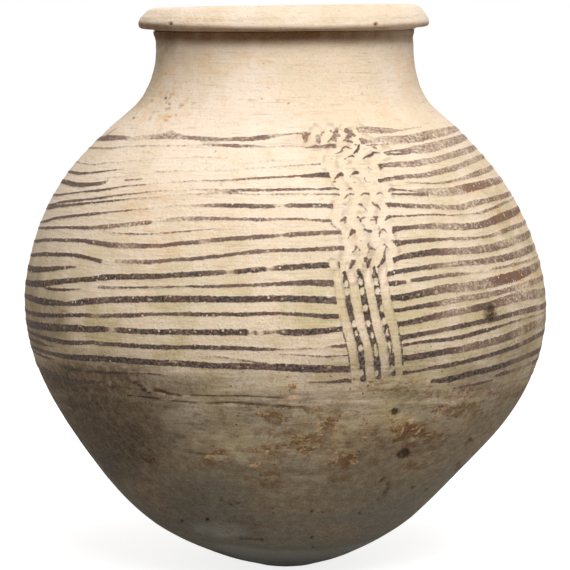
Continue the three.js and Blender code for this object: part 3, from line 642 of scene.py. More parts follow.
# What is left of the slip where the comb was swung from side to side: strength, then (x, y, width) along it
BAND_MARKS = [
    (.6, [(303, 134, 5), (305, 141, 5)]), (.65, [(318, 135, 4), (319, 141, 5.4)]),
    (.4, [(336, 128.5, 1), (349, 128.5, 1.2)]),
    (.7, [(331, 130, 1.5), (334, 132.5, 2.6), (336, 135.5, 3), (340, 134.8, 3)]),
    (.8, [(333.5, 136, 2.4), (331, 139.5, 3), (328.5, 141, 2)]), (.8, [(331, 140.6, 2), (336, 140.6, 1)]),
    (.85, [(346, 129.5, 4), (349, 133, 5), (352, 134, 4), (355, 135, 1.4)]),
    (.5, [(346, 134, 2), (346.5, 138, 2)]), (.8, [(346, 138, 2.6), (348.5, 137.6, 2.6)]),
    (.85, [(344.5, 139.6, 2.4), (348, 141, 2.6), (352, 141.6, 1.4)]),
    (.9, [(342, 149, 1.6), (343.5, 147.2, 2), (346, 146.3, 2), (349, 147.3, 1.8), (352, 147.7, 1)]),
    (.9, [(336.5, 153, 1.8), (339, 151.8, 2), (342.5, 150.6, 1.4)]),
    (1, [(356, 143.5, 1), (359, 144.5, 2), (358.5, 148, 3), (356.5, 150.5, 3), (354.5, 152.3, 2.2)]),
    (.4, [(362, 146.5, 1.2), (368, 148.5, 1.2)]), (.7, [(373.5, 147.2, 2.2), (375.5, 148.2, 2.2)]),
    (1, [(345, 158.2, 1), (348.5, 156.6, 2), (352, 155.5, 2.4), (354, 155.8, 1.2)]),
    (.5, [(331, 157.5, 1.8), (332.5, 157.6, 1.8)]),
    (1, [
        (360.5, 160.3, .8), (364, 158.2, 1), (367, 156.3, 2), (371, 154.8, 3.6), (373, 153.2, 3),
        (376, 152.4, 1.5), (380, 152.3, 1),
    ]),
    (.6, [(347, 163.5, 1.8), (348.8, 163, 1.8)]),
    (.85, [(368, 166.8, 1), (369.5, 168.5, 2), (372.5, 168.8, 1.6)]),
    (.95, [(335.5, 177.5, .8), (338, 175.2, 3), (340.5, 174.2, 4.2), (342, 174.4, 4.6)]),
    (1, [(350.5, 176, 1.5), (352, 174.2, 1.6), (355, 172.8, 3.2), (357.8, 172.4, 4.2)]),
    (.8, [(332.8, 182, 1.6), (334.5, 181, 2), (336.3, 180.6, 1)]),
    (.8, [(365, 177, 1.6), (365.2, 179, 1.6), (367, 181, 1.6), (370, 181.5, 1)]),
    (.5, [(371.5, 184.5, 1.2), (374, 184.6, 1.2)]), (.35, [(347.5, 181, 1.4), (348.5, 183, 1.4)]),
    (.4, [(354, 181.5, 1.2), (356, 181.6, 1.2)]), (.4, [(362.5, 182.3, 1.2), (364, 182.3, 1.2)]),
    (.9, [(346.5, 190, .8), (349, 188.6, 1.6), (351, 188.3, 1.6), (352, 188.8, 1)]),
    (.85, [
        (344.5, 198.5, .8), (346.5, 196, 1.8), (349, 194.2, 1.8), (351.5, 193.8, 2.2), (354, 193.8, 1.8),
    ]),
    (.9, [(360.7, 195.5, 1.6), (362.5, 194, 1.4), (364, 193.5, 2.4), (369, 193.5, 2.4)]),
    (.75, [(376.5, 194.5, 1), (378, 193.3, 1.8), (380.5, 192.7, 2), (383.5, 193.5, 1)]),
    (.85, [(389.3, 190.8, 1.4), (389.8, 188.8, 1.8), (392, 188.6, 1.8)]),
    (.6, [(342.5, 202, 1), (344.5, 204, 1.8), (346, 204.6, 2)]),
    (.8, [
        (359.8, 203.7, 2.4), (361.5, 205, 2.8), (363.5, 207, 1.8), (366, 208.7, 1.1), (367.8, 210.5, .8),
    ]),
    (.9, [(372.8, 201.5, 1), (375, 203.7, 2.2), (377, 206, 3.4), (380.5, 208.5, 1.4)]),
    (.8, [(386, 203, 1.4), (388.3, 204.5, 2.2), (389.3, 207.8, 1)]),
    (.7, [(331, 221, 1.6), (331.5, 223.5, 1), (334, 226.3, 1.2), (337, 228.6, 1.2), (341, 229.5, 1.6)]),
    (.9, [(341.5, 220, 1.6), (344, 219, 3), (345.3, 217.6, 3)]),
    (.85, [(345, 219, 2.6), (345.2, 222.5, 1.2)]),
    (.9, [(357.5, 216.5, 1.4), (360, 218.7, 3), (361, 221.5, 1.2)]),
    (.85, [(365, 216.8, 1), (361, 219, 2.4)]), (.9, [(374, 216.8, 1.8), (377.8, 216.8, 1.8)]),
    (.85, [(376, 217, 3), (376, 220, 2), (376.6, 224, 1)]), (.7, [(370.8, 219.6, 1), (375.5, 220, 1.8)]),
    (.9, [(385.8, 219.5, 1.4), (387.5, 217, 2.4), (389.5, 216, 1.8)]),
    (.5, [(363, 225, 2), (364.5, 226, 2.2)]),
    (.95, [(348.5, 238, 1.4), (350.5, 234.5, 1.8), (352.3, 231, 4), (354, 231, 4.6)]),
    (.9, [(352.3, 229, 2), (355, 232, 3)]),
    (.95, [(364.5, 229.5, 1.6), (368, 231, 4), (371.3, 231, 2.6)]),
    (.6, [(362, 236, 1), (364, 234.6, 1.4), (366, 234, 1)]), (.5, [(378.8, 226, 1.2), (379.3, 229, 1.2)]),
    (.85, [(379.5, 236.5, 1), (380, 233, 1.6), (382, 229.5, 2), (384, 228.8, 2), (386.5, 231.5, 1.4)]),
    (.9, [(393.5, 232.5, 1.4), (393.8, 229, 4)]), (.7, [(394.2, 235.5, 1.6), (394.6, 235.5, 1.6)]),
    (.8, [(392, 240.2, 1.8), (392.6, 239.8, 1.8)]), (.7, [(398.2, 239.3, 1.2), (398.8, 239.3, 1.2)]),
    (.95, [(394.5, 242, 1.6), (397, 243, 3.6), (397.4, 246, 1.4)]),
    (.6, [(360.5, 240.3, 1.4), (362, 240.5, 1.4)]), (.4, [(373, 243, 1), (376.5, 240.5, 1.2)]),
    (.85, [(353, 252, 1.8), (355.5, 249.3, 2.4), (355.9, 246.8, 1.6)]),
    (.85, [(355.5, 247.5, 2), (358, 248, 2.2), (359.8, 250, 1.4)]),
    (.85, [(368, 243.5, 1.2), (369.3, 247, 2.4), (372, 248.8, 2.4), (375.5, 249.6, 1)]),
    (.75, [(369.5, 248.5, 1.4), (368.5, 252, 2), (367, 256, 1.6)]),
    (.95, [(384.2, 244.5, 1.4), (386.5, 246.8, 2.2), (389.3, 247.4, 1)]),
    (.9, [(386, 247.5, 1.4), (385, 251, 1.4), (384.4, 255, 1.6)]),
    (.9, [(354, 261.2, 3.4), (352.5, 263, 5), (350.8, 267, 3)]),
    (.9, [(351.5, 260.3, 1.6), (356.3, 260.3, 1.2)]), (.5, [(346.5, 266, 2.2), (346.5, 268, 2)]),
    (.95, [(365, 257.8, 2), (366.5, 260, 4.5), (368.5, 262.5, 5), (368.5, 266.5, 1.8)]),
    (.9, [(371.3, 258.5, 1.4), (369.5, 262, 3)]),
    (1, [(384.5, 256.5, 2.4), (383.9, 260, 4.6), (381.5, 263, 3.4), (378.5, 267, 1.2)]),
    (.5, [(363, 264, 2), (364, 267, 1.8)]), (.6, [(358.5, 268.8, 2), (361, 269, 1.6)]),
    (.95, [(394, 262.6, 1.4), (394.8, 259.8, 3.4), (398, 258.2, 4)]),
    (.95, [(387.8, 275.2, 1.6), (389.8, 272.8, 4)]), (.95, [(343, 381.5, 2.2), (347, 379, 2)]),
    (.8, [(330, 376, 2.2), (331, 376, 2.2)]), (.7, [(295, 386, 2), (296, 386, 2)]),
    (.9, [(198, 388, 2.2), (200, 388, 2)]),
]

# Marks of age on the side that the photograph shows, with some painted shade among the dark ones: (x, y, half
# width, half height, amount) in pixels
DARK_STAINS_AND_SHADE = [
    (92, 380, 84, 26, .9), (165, 388, 58, 17, .7), (60, 405, 50, 34, .6), (34, 340, 14, 44, .6),
    (28, 285, 14, 50, .6), (44, 322, 28, 36, .55), (480, 386, 34, 9, .5), (92, 402, 52, 17, .85),
    (285, 13, 150, 13, .12), (270, 116, 80, 14, .06), (70, 394, 30, 16, .5), (168, 406, 24, 5, .5),
    (95, 440, 84, 70, .8), (280, 398, 120, 11, .4), (410, 393, 60, 9, .35), (160, 505, 70, 36, .35),
    (480, 376, 40, 12, .45), (404, 454, 7, 5, .9), (395, 412, 3.5, 3.5, .9), (490, 314, 8, 11, .9),
    (212, 142, 12, 4, .25), (150, 402, 60, 6, .15), (230, 392, 60, 6, .15), (498, 391, 40, 8, .35),
    # (160, 48) and (168, 42) are painted shade of the rim on the neck's left, with some dirt
    (160, 48, 9, 22, .3), (198, 388, 3.4, 1.6, .9), (168, 42, 12, 14, .5), (505, 335, 40, 50, .14),
    (470, 300, 40, 60, .08), (90, 360, 40, 14, .3), (300, 141, 24, 8, .15), (210, 520, 40, 8, .2),
]
RUST_STAINS = [
    (407, 434, 42, 16, .9), (311, 443, 26, 9, .8), (215, 457, 22, 12, .7), (327, 425, 16, 9, .6),
    (348, 461, 18, 9, .8), (262, 450, 24, 7, .5), (300, 412, 40, 8, .4), (455, 410, 34, 12, .5),
    (411, 466, 10, 5, .6), (150, 459, 10, 5, .5), (350, 440, 110, 40, .22), (150, 235, 34, 52, .3),
    (376, 25, 5, 4, .35), (155, 112, 30, 16, .5), (514, 277, 26, 9, .9), (503, 217, 14, 9, .9),
    (474, 187, 24, 7, .8), (459.5, 467.5, 3, 5, .9), (230, 62, 70, 12, .25), (162, 62, 12, 34, .35),
    (408, 62, 12, 34, .4), (190, 20, 36, 6, .3), (305, 136, 8, 7, .4), (165, 75, 14, 30, .4),
    (380, 110, 50, 20, .15), (280, 178, 60, 6, .25), (163, 394, 8, 5, .7), (115, 387, 7, 4, .9),
    (240, 520, 40, 20, .3), (296, 386, 9, 4, .7), (280, 415, 24, 8, .6), (268, 478, 22, 9, .5),
    (342, 480, 16, 5, .5), (390, 385, 50, 10, .35), (470, 395, 60, 10, .35),
]
# Where it is paler than its height says: (x, y, half width, half height, how much)
PALE_PATCHES = [
    (340, 418, 100, 20, .14), (300, 388, 90, 10, .05), (306, 476, 36, 15, .12), (285, 448, 90, 34, .16),
    (350, 404, 44, 7, .1),
]
# Where the clay is pocked with small holes
POCKS = [
    (160, 112, 34, 20, 1.0), (300, 101, 90, 5, .6), (235, 507, 24, 14, .6), (130, 450, 40, 20, .3),
]
# Where lime has grown on it, as a film and as crumbs
LIME_CRUSTS = [
    (400, 432, 42, 15, .9), (345, 461, 20, 8, 1), (305, 444, 30, 12, .6), (212, 456, 26, 11, .6),
    (108, 262, 7, 3, 1), (262, 450, 16, 5, .9), (254, 466, 8, 4, .8), (323, 427, 12, 8, .8),
    (411, 465, 9, 4, .9), (433, 455, 10, 4, .6), (162, 395, 5, 4, .8), (296, 397, 5, 2.4, .8),
    (256, 388, 3, 2, .8), (270, 478, 14, 5, .4), (342, 480, 12, 4, .5), (112, 330, 6, 2.4, 1),
    (98, 343, 5, 2.4, 1), (481, 276, 11, 6, .8), (150, 292, 16, 4, .5), (108, 295, 10, 5, .6),
    (60, 328, 14, 5, .3), (290, 330, 20, 5, .4), (190, 305, 30, 4, .3), (420, 348, 16, 5, .3),
    (140, 120, 20, 14, .4), (500, 180, 20, 20, .3), (330, 300, 10, 20, .4),
]
# Single pits: (x, y, radius)
PITS = [
    (395, 412, 3.8), (401, 456, 4.2), (405.5, 452.5, 4.2), (207, 520, 1.8), (182, 521, 1.6),
    (230, 505, 1.4), (237, 504, 1.4), (360, 514, 1.6), (413, 488, 1.6), (427, 490, 1.4), (471, 440, 1.8),
    (312, 512, 1.6), (312, 538, 1.6), (313, 548, 1.4), (262, 541, 1.6), (170, 25, 1.8), (492, 309, 3.4),
    (491, 318, 3.6), (494, 315, 2.6), (376, 25, 2), (262, 99, .8), (288, 103, 1.1), (318, 100, .9),
    (165, 98, 1.5), (133, 118, 1.4), (169, 104, 1.2), (445, 100, .9), (352, 78, .8), (166, 74, .9),
]
# Scrapes: a width, and the points of a line that the scrape follows
SCRAPES = [
    (1.8, [(285, 396), (360, 392.5), (436, 387)]), (1.8, [(466, 392), (500, 387), (527, 381)]),
    (1.6, [(335, 396), (360, 390)]), (1.4, [(392, 401), (470, 397)]), (1.4, [(315, 400), (372, 400)]),
]
# Dark cracks at the lower edge of the wash and below it, given like the scrapes
CRACKS = [
    (2.0, [(172, 401), (186, 402.2), (196, 403.2), (211, 403.6)]), (2, [(211, 403.6), (230, 402.6)]),
    (2.6, [(230, 402.6), (246, 404), (262, 405), (275, 406), (285, 406.6)]),
    (2, [(285, 406.6), (303, 407.4)]),
    (.9, [(190, 395.4), (215, 396), (240, 396), (262, 397), (285, 398.4)]),
    (1.8, [(135, 382), (141, 387), (148, 393)]), (1.6, [(128, 396), (150, 398), (158, 399.4)]),
    (1.8, [(165, 393), (180, 395.4)]), (2.4, [(156, 390), (164, 392)]),
    (3.6, [(388.5, 484), (388, 490), (384, 496), (379, 500)]), (2, [(470, 438), (466, 444)]),
    (2.4, [(188, 451), (196, 454), (201, 455)]), (1.8, [(385, 478), (380, 482)]),
    (1.8, [(455, 471), (459, 465)]), (1.6, [(240, 539), (262, 540)]),
]


def capsule(x, y, a, b, radius):
    """How far pixels lie inside a round-ended stroke from a to b."""
    ax, ay = a
    bx, by = b
    along = ((x - ax) * (bx - ax) + (y - ay) * (by - ay)) / max((bx - ax) ** 2 + (by - ay) ** 2, 1e-9)
    t = np.clip(along, 0, 1)
    return radius - np.hypot(x - ax - t * (bx - ax), y - ay - t * (by - ay))


def polyline(x, y, points, radius):
    return np.maximum.reduce([capsule(x, y, a, b, radius) for a, b in zip(points, points[1:])])


def tapered(x, y, points):
    """As polyline, for points that each hold a width."""
    parts = [capsule(x, y, a[:2], b[:2], (a[2] + b[2]) / 4) for a, b in zip(points, points[1:])]
    return np.maximum.reduce(parts)


# Where a spot begins to fade and where it ends, as a share of its half width
SPOT_FADE = (0.35, 1.25)


def ovals(x, y, spots, ragged):
    """The strongest of soft oval spots at each pixel."""
    total = np.zeros_like(x)
    for cx, cy, half_x, half_y, amount in spots:
        distance = np.hypot((x - cx) / half_x, (y - cy) / half_y) + ragged
        total = np.maximum(total, amount * (1 - smoothstep(distance, *SPOT_FADE)))
    return total


# Cosines of the angle between the surface and the sight where what was read fades out and is full
OUTLINE_FADE = (0.03, 0.15)


def facing(skin, points, s, angle):
    """1 where a skin faces the camera, falling to 0 at its outline."""
    out_r, out_z = skin.normal(s)
    normals = around(out_r, angle, out_z)
    sight = EYE - points
    sight = sight / np.linalg.norm(sight, axis=-1, keepdims=True)
    return smoothstep((normals * sight).sum(-1), *OUTLINE_FADE)


# Stripes as tracks on the wall: angles in degrees, the lower and upper edge along the outline, strength
EDGE_ANGLE = 84.0
END_REACH = 14.0
LEAST_WIDTH_PX = 1.7
# A stripe's soft edges lie outside the width that was read
SOFT_EDGE_PX = 1.1
# but not with the thinnest ones: widths between which that begins
SOFT_EDGE_WIDTHS = (1.2, 3.2)
# Points of a stripe that lie less than this after the last one are left out, in degrees
LEAST_TURN = 0.05
# The right-hand stripes lie lower than they were read, by a share along x times a share along y
SAG_BY_X = [(385, 0.1), (410, 0.4), (470, 1.0)]
SAG_BY_Y = [(150, 0.6), (230, 0.8), (290, 1.7), (340, 1.2), (385, 0.7)]
# Places tried between two points of a stripe for where it meets the outline
FIND_STEPS = 20
# How far behind the outline a stripe still runs level to the eye, in degrees
LEVEL_REACH = 14.0
# No point of the jar lies farther from its axis
FARTHEST_OUT = 200.0
# Stripes are this much wider at the right outline than they were read
RIGHT_WIDER = 0.12


def find_wall(x, y):
    """Angle in degrees and distance along the outline at a pixel, or None where it misses the jar."""
    point = pixel_to_point(x, y)
    if np.hypot(point[0], point[1]) > FARTHEST_OUT:
        return None
    lean = np.interp(point[2], LEAN_CURVE[:, 0], LEAN_CURVE[:, 1])
    return math.degrees(math.atan2(point[0] - lean, -point[1])), arc_at_height(point[2])


def with_strength(points):
    return [(*point, 1.0)[:4] for point in points]


def make_track(points):
    """The track of one stripe. A point read just past the jar's outline is moved back along the stripe."""
    rows = []
    middle = len(points) // 2
    for i, (_, _, width, strength) in enumerate(points):
        drawn = max(width + SOFT_EDGE_PX * smoothstep(width, *SOFT_EDGE_WIDTHS), LEAST_WIDTH_PX)
        for place in np.linspace(i, middle, 1 + FIND_STEPS * abs(middle - i)):
            x, y = (np.interp(place, range(len(points)), [p[axis] for p in points]) for axis in (0, 1))
            found = [find_wall(x, y + shift) for shift in (0.0, drawn / 2, -drawn / 2)]
            if None not in found:
                break
        (angle, _), (_, low), (_, high) = found
        if not rows or angle > rows[-1][0] + LEAST_TURN:
            rows.append((angle, low, high, strength * (width / drawn) ** 0.5))
    track = np.array(rows)
    if track[0, 0] < END_REACH - EDGE_ANGLE:
        track[0, 0] = -EDGE_ANGLE
    if track[-1, 0] > EDGE_ANGLE - END_REACH:
        track[-1, 0] = EDGE_ANGLE
    return track


def sagged(points):
    """A right-hand stripe with the sag and the width that it has towards the outline."""
    result = []
    for x, y, width, strength in points:
        share = np.interp(x, *np.array(SAG_BY_X).T)
        sag = share * np.interp(y, *np.array(SAG_BY_Y).T)
        result.append((x, y + sag, width * (1 + RIGHT_WIDER * share), strength))
    return result


def level_drop(s, degrees):
    """How far a stripe at s sinks along the wall behind the outline, so that it meets the outline level."""
    radius, height = WALL.at(s)
    out_r, _ = WALL.normal(s)
    sight = (CAMERA_HEIGHT - height) / CAMERA_DISTANCE
    reach = radius * np.radians(np.minimum(degrees - EDGE_ANGLE, LEVEL_REACH))
    return sight * reach / np.maximum(out_r, 0.5)


# How far the stripes behind sway along the wall, and how much their half width varies
BACK_SWAY = 2.6
BACK_SWELL = 0.8
BACK_POINTS = 60
# Shares of the way round the back between which a stripe passes from the right edge's place to the left's
BACK_PASSAGE = (0.15, 0.85)
LEVEL_FADE = (0.1, 0.35)


def make_back_tracks(front):
    """Stripes round the back. Each one at the right edge is led to the one of like rank at the left."""
    right = sorted((t[-1, 1:] for t in front if t[-1, 0] == EDGE_ANGLE), key=lambda row: row[0])
    left = sorted((t[0, 1:] for t in front if t[0, 0] == -EDGE_ANGLE), key=lambda row: row[0])
    count = max(len(right), len(left))
    steps = np.linspace(0.0, 1.0, BACK_POINTS)
    angles = EDGE_ANGLE + steps * (360.0 - 2 * EDGE_ANGLE)
    tracks = []
    for k in range(count):
        start = right[round(k * (len(right) - 1) / (count - 1))]
        stop = left[round(k * (len(left) - 1) / (count - 1))]
        share = smoothstep(steps, *BACK_PASSAGE)[:, None]
        rows = start * (1 - share) + stop * share
        place = np.stack([steps * 14.0, np.full_like(steps, k * 0.45), np.zeros_like(steps)], -1)
        sway = BACK_SWAY * noise(place, 1.7, 41) * np.sin(math.pi * steps)
        swell = BACK_SWELL * noise(place * [1, 9, 1], 1.1, 42) * np.sin(math.pi * steps)
        sway = sway - level_drop(start[0], angles) * (1 - smoothstep(steps, *LEVEL_FADE))
        sway = sway - level_drop(stop[0], 360.0 - angles) * (1 - smoothstep(1 - steps, *LEVEL_FADE))
        low, high, strength = rows.T
        tracks.append(np.stack([angles, low + sway - swell, high + sway + swell, strength], -1))
    return tracks


FRONT_TRACKS = [make_track(with_strength(points)) for points in LEFT_STRIPES.values()]
FRONT_TRACKS += [make_track(sagged(with_strength(points))) for points in RIGHT_STRIPES.values()]
TRACKS = FRONT_TRACKS + make_back_tracks(FRONT_TRACKS)
BELLY_RADIUS = 194.0
# Degrees between which the band of strokes lies
BAND_ANGLES = (6.0, 44.0)
# The depth of places that lie in no stripe or stroke
OUTSIDE = -9.0


def stripes_at(s, angle):
    """How deep in a stripe each place lies, in millimetres, and that stripe's strength."""
    degrees = np.degrees(angle)
    around_back = np.where(degrees < -EDGE_ANGLE, degrees + 360.0, degrees)
    deep = np.full(np.broadcast(s, angle).shape, OUTSIDE)
    strength = np.zeros_like(deep)
    for track in TRACKS:
        where = around_back if track[-1, 0] > 180.0 else degrees
        low = np.interp(where, track[:, 0], track[:, 1])
        high = np.interp(where, track[:, 0], track[:, 2])
        beyond = np.maximum(track[0, 0] - where, where - track[-1, 0]) * BELLY_RADIUS * math.pi / 180
        inside = np.minimum(np.minimum(s - low, high - s), -beyond)
        better = inside > deep
        deep = np.where(better, inside, deep)
        strength = np.where(better, np.interp(where, track[:, 0], track[:, 3]), strength)
    return deep, strength


def band_at(x, y):
    """How deep pixels lie in pale strokes, in swung ones and in slip left among them, and its strength."""
    strokes = np.maximum.reduce([polyline(x, y, stroke, STROKE_WIDTH_PX / 2) for stroke in STROKES])
    swings = np.maximum.reduce([polyline(x, y, points, SWING_WIDTH_PX / 2) for points in SWINGS])
    bars = np.maximum.reduce([tapered(x, y, bar) for bar in GAP_BARS])
    for cx, cy in BAR_SPOTS:
        bars = np.minimum(bars, np.hypot(x - cx, (y - cy) * BAR_SPOT_STRETCH) - BAR_SPOT_RADIUS_PX)
    left = bars - BAR_INSET
    strength = np.full_like(x, BAR_STRENGTH)
    for mark_strength, points in BAND_MARKS:
        mark = tapered(x, y, points)
        strength = np.where(mark > left, MARK_STRENGTH * mark_strength, strength)
        left = np.maximum(left, mark)
    smear = np.minimum(tapered(x, y, SMEAR), -swings)
    strength = np.where(smear > left, SMEAR_STRENGTH, strength)
    return strokes, swings, np.maximum(left, smear), strength


# Relief of the surface, in millimetres along the outward normal
NECK_HEIGHT = 340.0
COMB_RELIEF = 0.28
STROKE_DEPTH = 0.95
SWING_DEPTH = 1.1
RUBBLE_RELIEF = 0.14
PIT_DEPTH = 1.3
POCK_DEPTH = 0.5
GRIT_DEPTH = 0.3
SCRAPE_DEPTH = 0.35
FLAKE_DEPTH = 0.4
CRACK_DEPTH = 0.8
WASH_RELIEF = 0.25
CRUMB_RELIEF = 0.4
# How much thinner the slip is worn on the upper body, and between which heights that begins
WEAR_ABOVE = 0.12
WEAR_HEIGHTS = (215.0, 275.0)
# Painted shade of the rim on the neck under it, with some dirt: heights where it begins and is full
UNDER_RIM = (387.0, 397.0)
# and painted shade on the rim's rounded lower edge: heights where it is full and ends
RIM_EDGE = (401.8, 405.6)


def lumps(points):
    """The unevenness of a surface formed by hand and wiped with wet fingers."""
    height = 0.35 * noise(points, 78.0, 1) + 0.14 * noise(points, (70.0, 70.0, 17.0), 2)
    height = height + 0.10 * noise(points, (95.0, 95.0, 5.5), 3) + 0.07 * noise(points, 6.5, 4)
    wheel = smoothstep(points[..., 2], NECK_HEIGHT, NECK_HEIGHT + 12.0)
    return height + wheel * 0.13 * noise(points, (160.0, 160.0, 3.4), 5)


def coarse_pits(points):
    """Scattered small pits where grit fell out."""
    field = noise(points, 5.2, 6) + 0.5 * noise(points, 2.6, 7)
    return smoothstep(field, 0.92, 1.15) * (0.4 + 0.6 * patchy(points, 60.0, 8, -0.3, 0.6))


# The tone by height: pale at the neck, darker and greyer towards the foot, partly the clay's own colour and
# partly painted shade of the lower body turned from the light above
TONE_AND_SHADE_BY_HEIGHT = [
    (0, 0.95), (45, 0.80), (90, 0.62), (122, 0.52), (138, 0.48), (152, 0.455), (160, 0.44), (170, 0.40),
    (188, 0.34), (205, 0.235), (222, 0.17), (255, 0.11), (330, 0.05), (345, 0.0), (420, 0.0),
]
# The lower edge of the pale wash on the front as (x, y) in pixels, and its height behind
WASH_EDGE = [
    (20, 356), (46, 368), (62, 376), (80, 383), (105, 385), (136, 387), (150, 393), (165, 400), (190, 404),
    (240, 406), (297, 407), (340, 403), (400, 404), (470, 404), (505, 398), (530, 388), (550, 376),
]
WASH_BACK_HEIGHT = 152.0
WASH_TONE = 0.10
# The shoulder is yellower at the right: pixels between which that begins and ends
RIGHT_TONE = 0.09
RIGHT_COLUMNS = (375.0, 460.0)
RIGHT_TOP_ROWS = (120.0, 170.0)
RIGHT_LOW_ROWS = (225.0, 290.0)
# Stains at the outline are carried round it: angles where that begins and ends
HELD_ANGLE = math.radians(68.0)
CARRY_ANGLE = math.radians(125.0)


class Places:
    """Vertices of a skin: their places on the wall and in the photograph, and how well each one is seen."""

    def __init__(self, skin, s, angle):
        self.wall = skin.points(s, angle)
        self.height = self.wall[..., 2]
        self.x, self.y = to_pixels(self.wall)
        self.seen = facing(skin, self.wall, s, angle)
        self.behind = 1.0 - self.seen
        self.ragged = 0.35 * noise(self.wall, 9.0, 11) + 0.18 * noise(self.wall, 3.0, 12)
        held_angle = np.clip(angle, -HELD_ANGLE, HELD_ANGLE)
        held = skin.points(s, held_angle)
        self.held_x, self.held_y = to_pixels(held)
        fading = 1 - smoothstep(np.abs(angle), HELD_ANGLE, CARRY_ANGLE)
        self.carried = facing(skin, held, s, held_angle) * fading

    def spots(self, spots, ragged):
        """Spots that were read from the photograph, on the side that it shows."""
        return self.seen * ovals(self.x, self.y, spots, ragged)

    def stains(self, spots, ragged):
        """The same for stains, which run on round the outline."""
        return self.carried * ovals(self.held_x, self.held_y, spots, ragged)

    def stains_behind(self, size, seed, low, high, ragged):
        return self.behind * smoothstep(noise(self.wall, size, seed) + ragged, low, high)

    def lines(self, lines, soft, *gaps):
        """Thin lines that were read from the photograph, with gaps where a noise is low."""
        inside = np.maximum.reduce([polyline(self.x, self.y, points, width / 2) for width, points in lines])
        return self.seen * smoothstep(inside, -0.9, soft) * patchy(self.wall, *gaps)


def below_wash(at):
    """How far below the lower edge of the pale wash each place lies, in millimetres."""
    front = (at.y - np.interp(at.x, *np.array(WASH_EDGE, float).T)) * MM_PER_PIXEL
    back = WASH_BACK_HEIGHT - at.height
    uneven = 1.6 * noise(at.wall, 9.0, 26) + 0.8 * noise(at.wall, (12.0, 12.0, 3.0), 27)
    return front * at.seen + back * at.behind + uneven


def clay_tone_and_shade(at, bare):
    """How dark the clay is painted: 0 at the neck, 1 at the foot, partly its own colour and partly painted
    shade.
    """
    tone = np.interp(at.height, *np.array(TONE_AND_SHADE_BY_HEIGHT).T)
    tone = tone + tone * (0.14 * noise(at.wall, 45.0, 13) + 0.12 * noise(at.wall, (50.0, 50.0, 11.0), 23))
    right = smoothstep(at.x, *RIGHT_COLUMNS) * smoothstep(at.y, *RIGHT_TOP_ROWS)
    right = at.seen * right * (1 - smoothstep(at.y, *RIGHT_LOW_ROWS))
    return tone + WASH_TONE * bare - at.stains(PALE_PATCHES, at.ragged) + RIGHT_TONE * right


# Painted shade with some dirt: on the neck under the rim by height, and on the rim's rounded lower edge;
# weaker towards the right
def rim_shade_and_dirt(skin, at, angle):
    if skin is RIM:
        shade_and_dirt = 0.85 * (1 - smoothstep(at.height - 1.2 * np.sin(angle) ** 2, *RIM_EDGE))
    else:
        shade_and_dirt = smoothstep(at.height + 1.0 * noise(at.wall, 24.0, 37), *UNDER_RIM)
    return shade_and_dirt * (1.0 - 0.25 * smoothstep(at.wall[..., 0], 20.0, 90.0) + 0.1 * noise(at.wall, 7.0, 38))


def worn_strength(at, strength, rust):
    """The strength of the slip where it is worn: on the shoulder, towards the right and at its edge."""
    rust = np.minimum(rust, 1.0)
    toward_right = smoothstep(at.x, 400.0, 470.0) * at.seen
    wear = WEAR_ABOVE * smoothstep(at.height, *WEAR_HEIGHTS)
    wear = wear + (0.06 + 0.20 * toward_right) * patchy(at.wall, (24.0, 24.0, 11.0), 51, 0.0, 0.6)
    wear = wear + 0.30 * smoothstep(at.x, 500.0, 532.0) * patchy(at.wall, (2.6, 2.6, 26.0), 52, -0.1, 0.5)
    return strength * (1 - wear * (1 - rust)) + 0.15 * rust


def combed(at, s, angle, rust):
    """The stripes and the band: depth in slip, its strength, the relief, and the dark residue of the comb
    with painted shade along the straight strokes' edges.
    """
    slip, strength = stripes_at(s, angle)
    strength = worn_strength(at, strength, rust)
    degrees = np.degrees(angle)
    near = (degrees > BAND_ANGLES[0]) & (degrees < BAND_ANGLES[1]) & (at.seen > 0)
    *depths, mark_strength = band_at(at.x, at.y)
    strokes, swings, marks = (np.where(near, depth, OUTSIDE) * MM_PER_PIXEL for depth in depths)
    swung = smoothstep(swings, -3.5, 0.0)
    rubble = noise(at.wall, 3.2, 21) + 0.6 * noise(at.wall, 1.7, 22)
    marks = marks - 0.12 * swung * smoothstep(rubble, -0.3, 0.8)
    slip = np.minimum(slip, -strokes)
    ridge = 0.62 - np.abs(strokes + 0.6) - 0.3 * smoothstep(rubble, 0.0, 0.8)
    ridge = ridge - 2 * (1 - smoothstep(at.y, *RIDGE_FROM)) - 2 * smoothstep(at.y, *RIDGE_TO)
    slip = np.maximum(slip, ridge)
    strength = np.where(ridge > -0.3, 0.9, strength)
    strength = np.where(marks > slip, mark_strength, strength)
    slip = np.maximum(slip, marks)
    fade = 1 - smoothstep(at.y, *STROKE_FADE)
    relief = COMB_RELIEF * smoothstep(slip, -0.6, 0.5) - STROKE_DEPTH * fade * smoothstep(strokes, -0.7, 1.6)
    relief = relief - SWING_DEPTH * smoothstep(swings, -1.6, 2.2) + swung * RUBBLE_RELIEF * rubble
    # Painted shade: thin dark lines along the edges of the straight strokes
    stroke_edge_shade = fade * np.exp(-(strokes / 0.55) ** 2)
    residue = smoothstep(swings, -4.5, -2.5) * (1 - smoothstep(swings, -1.4, 0.4))
    dark = 0.35 * stroke_edge_shade * patchy(at.wall, 5.0, 24, -0.5, 0.4)
    dark = dark + 0.3 * residue * patchy(at.wall, 3.0, 25, -0.4, 0.5)
    return slip, strength, relief, dark


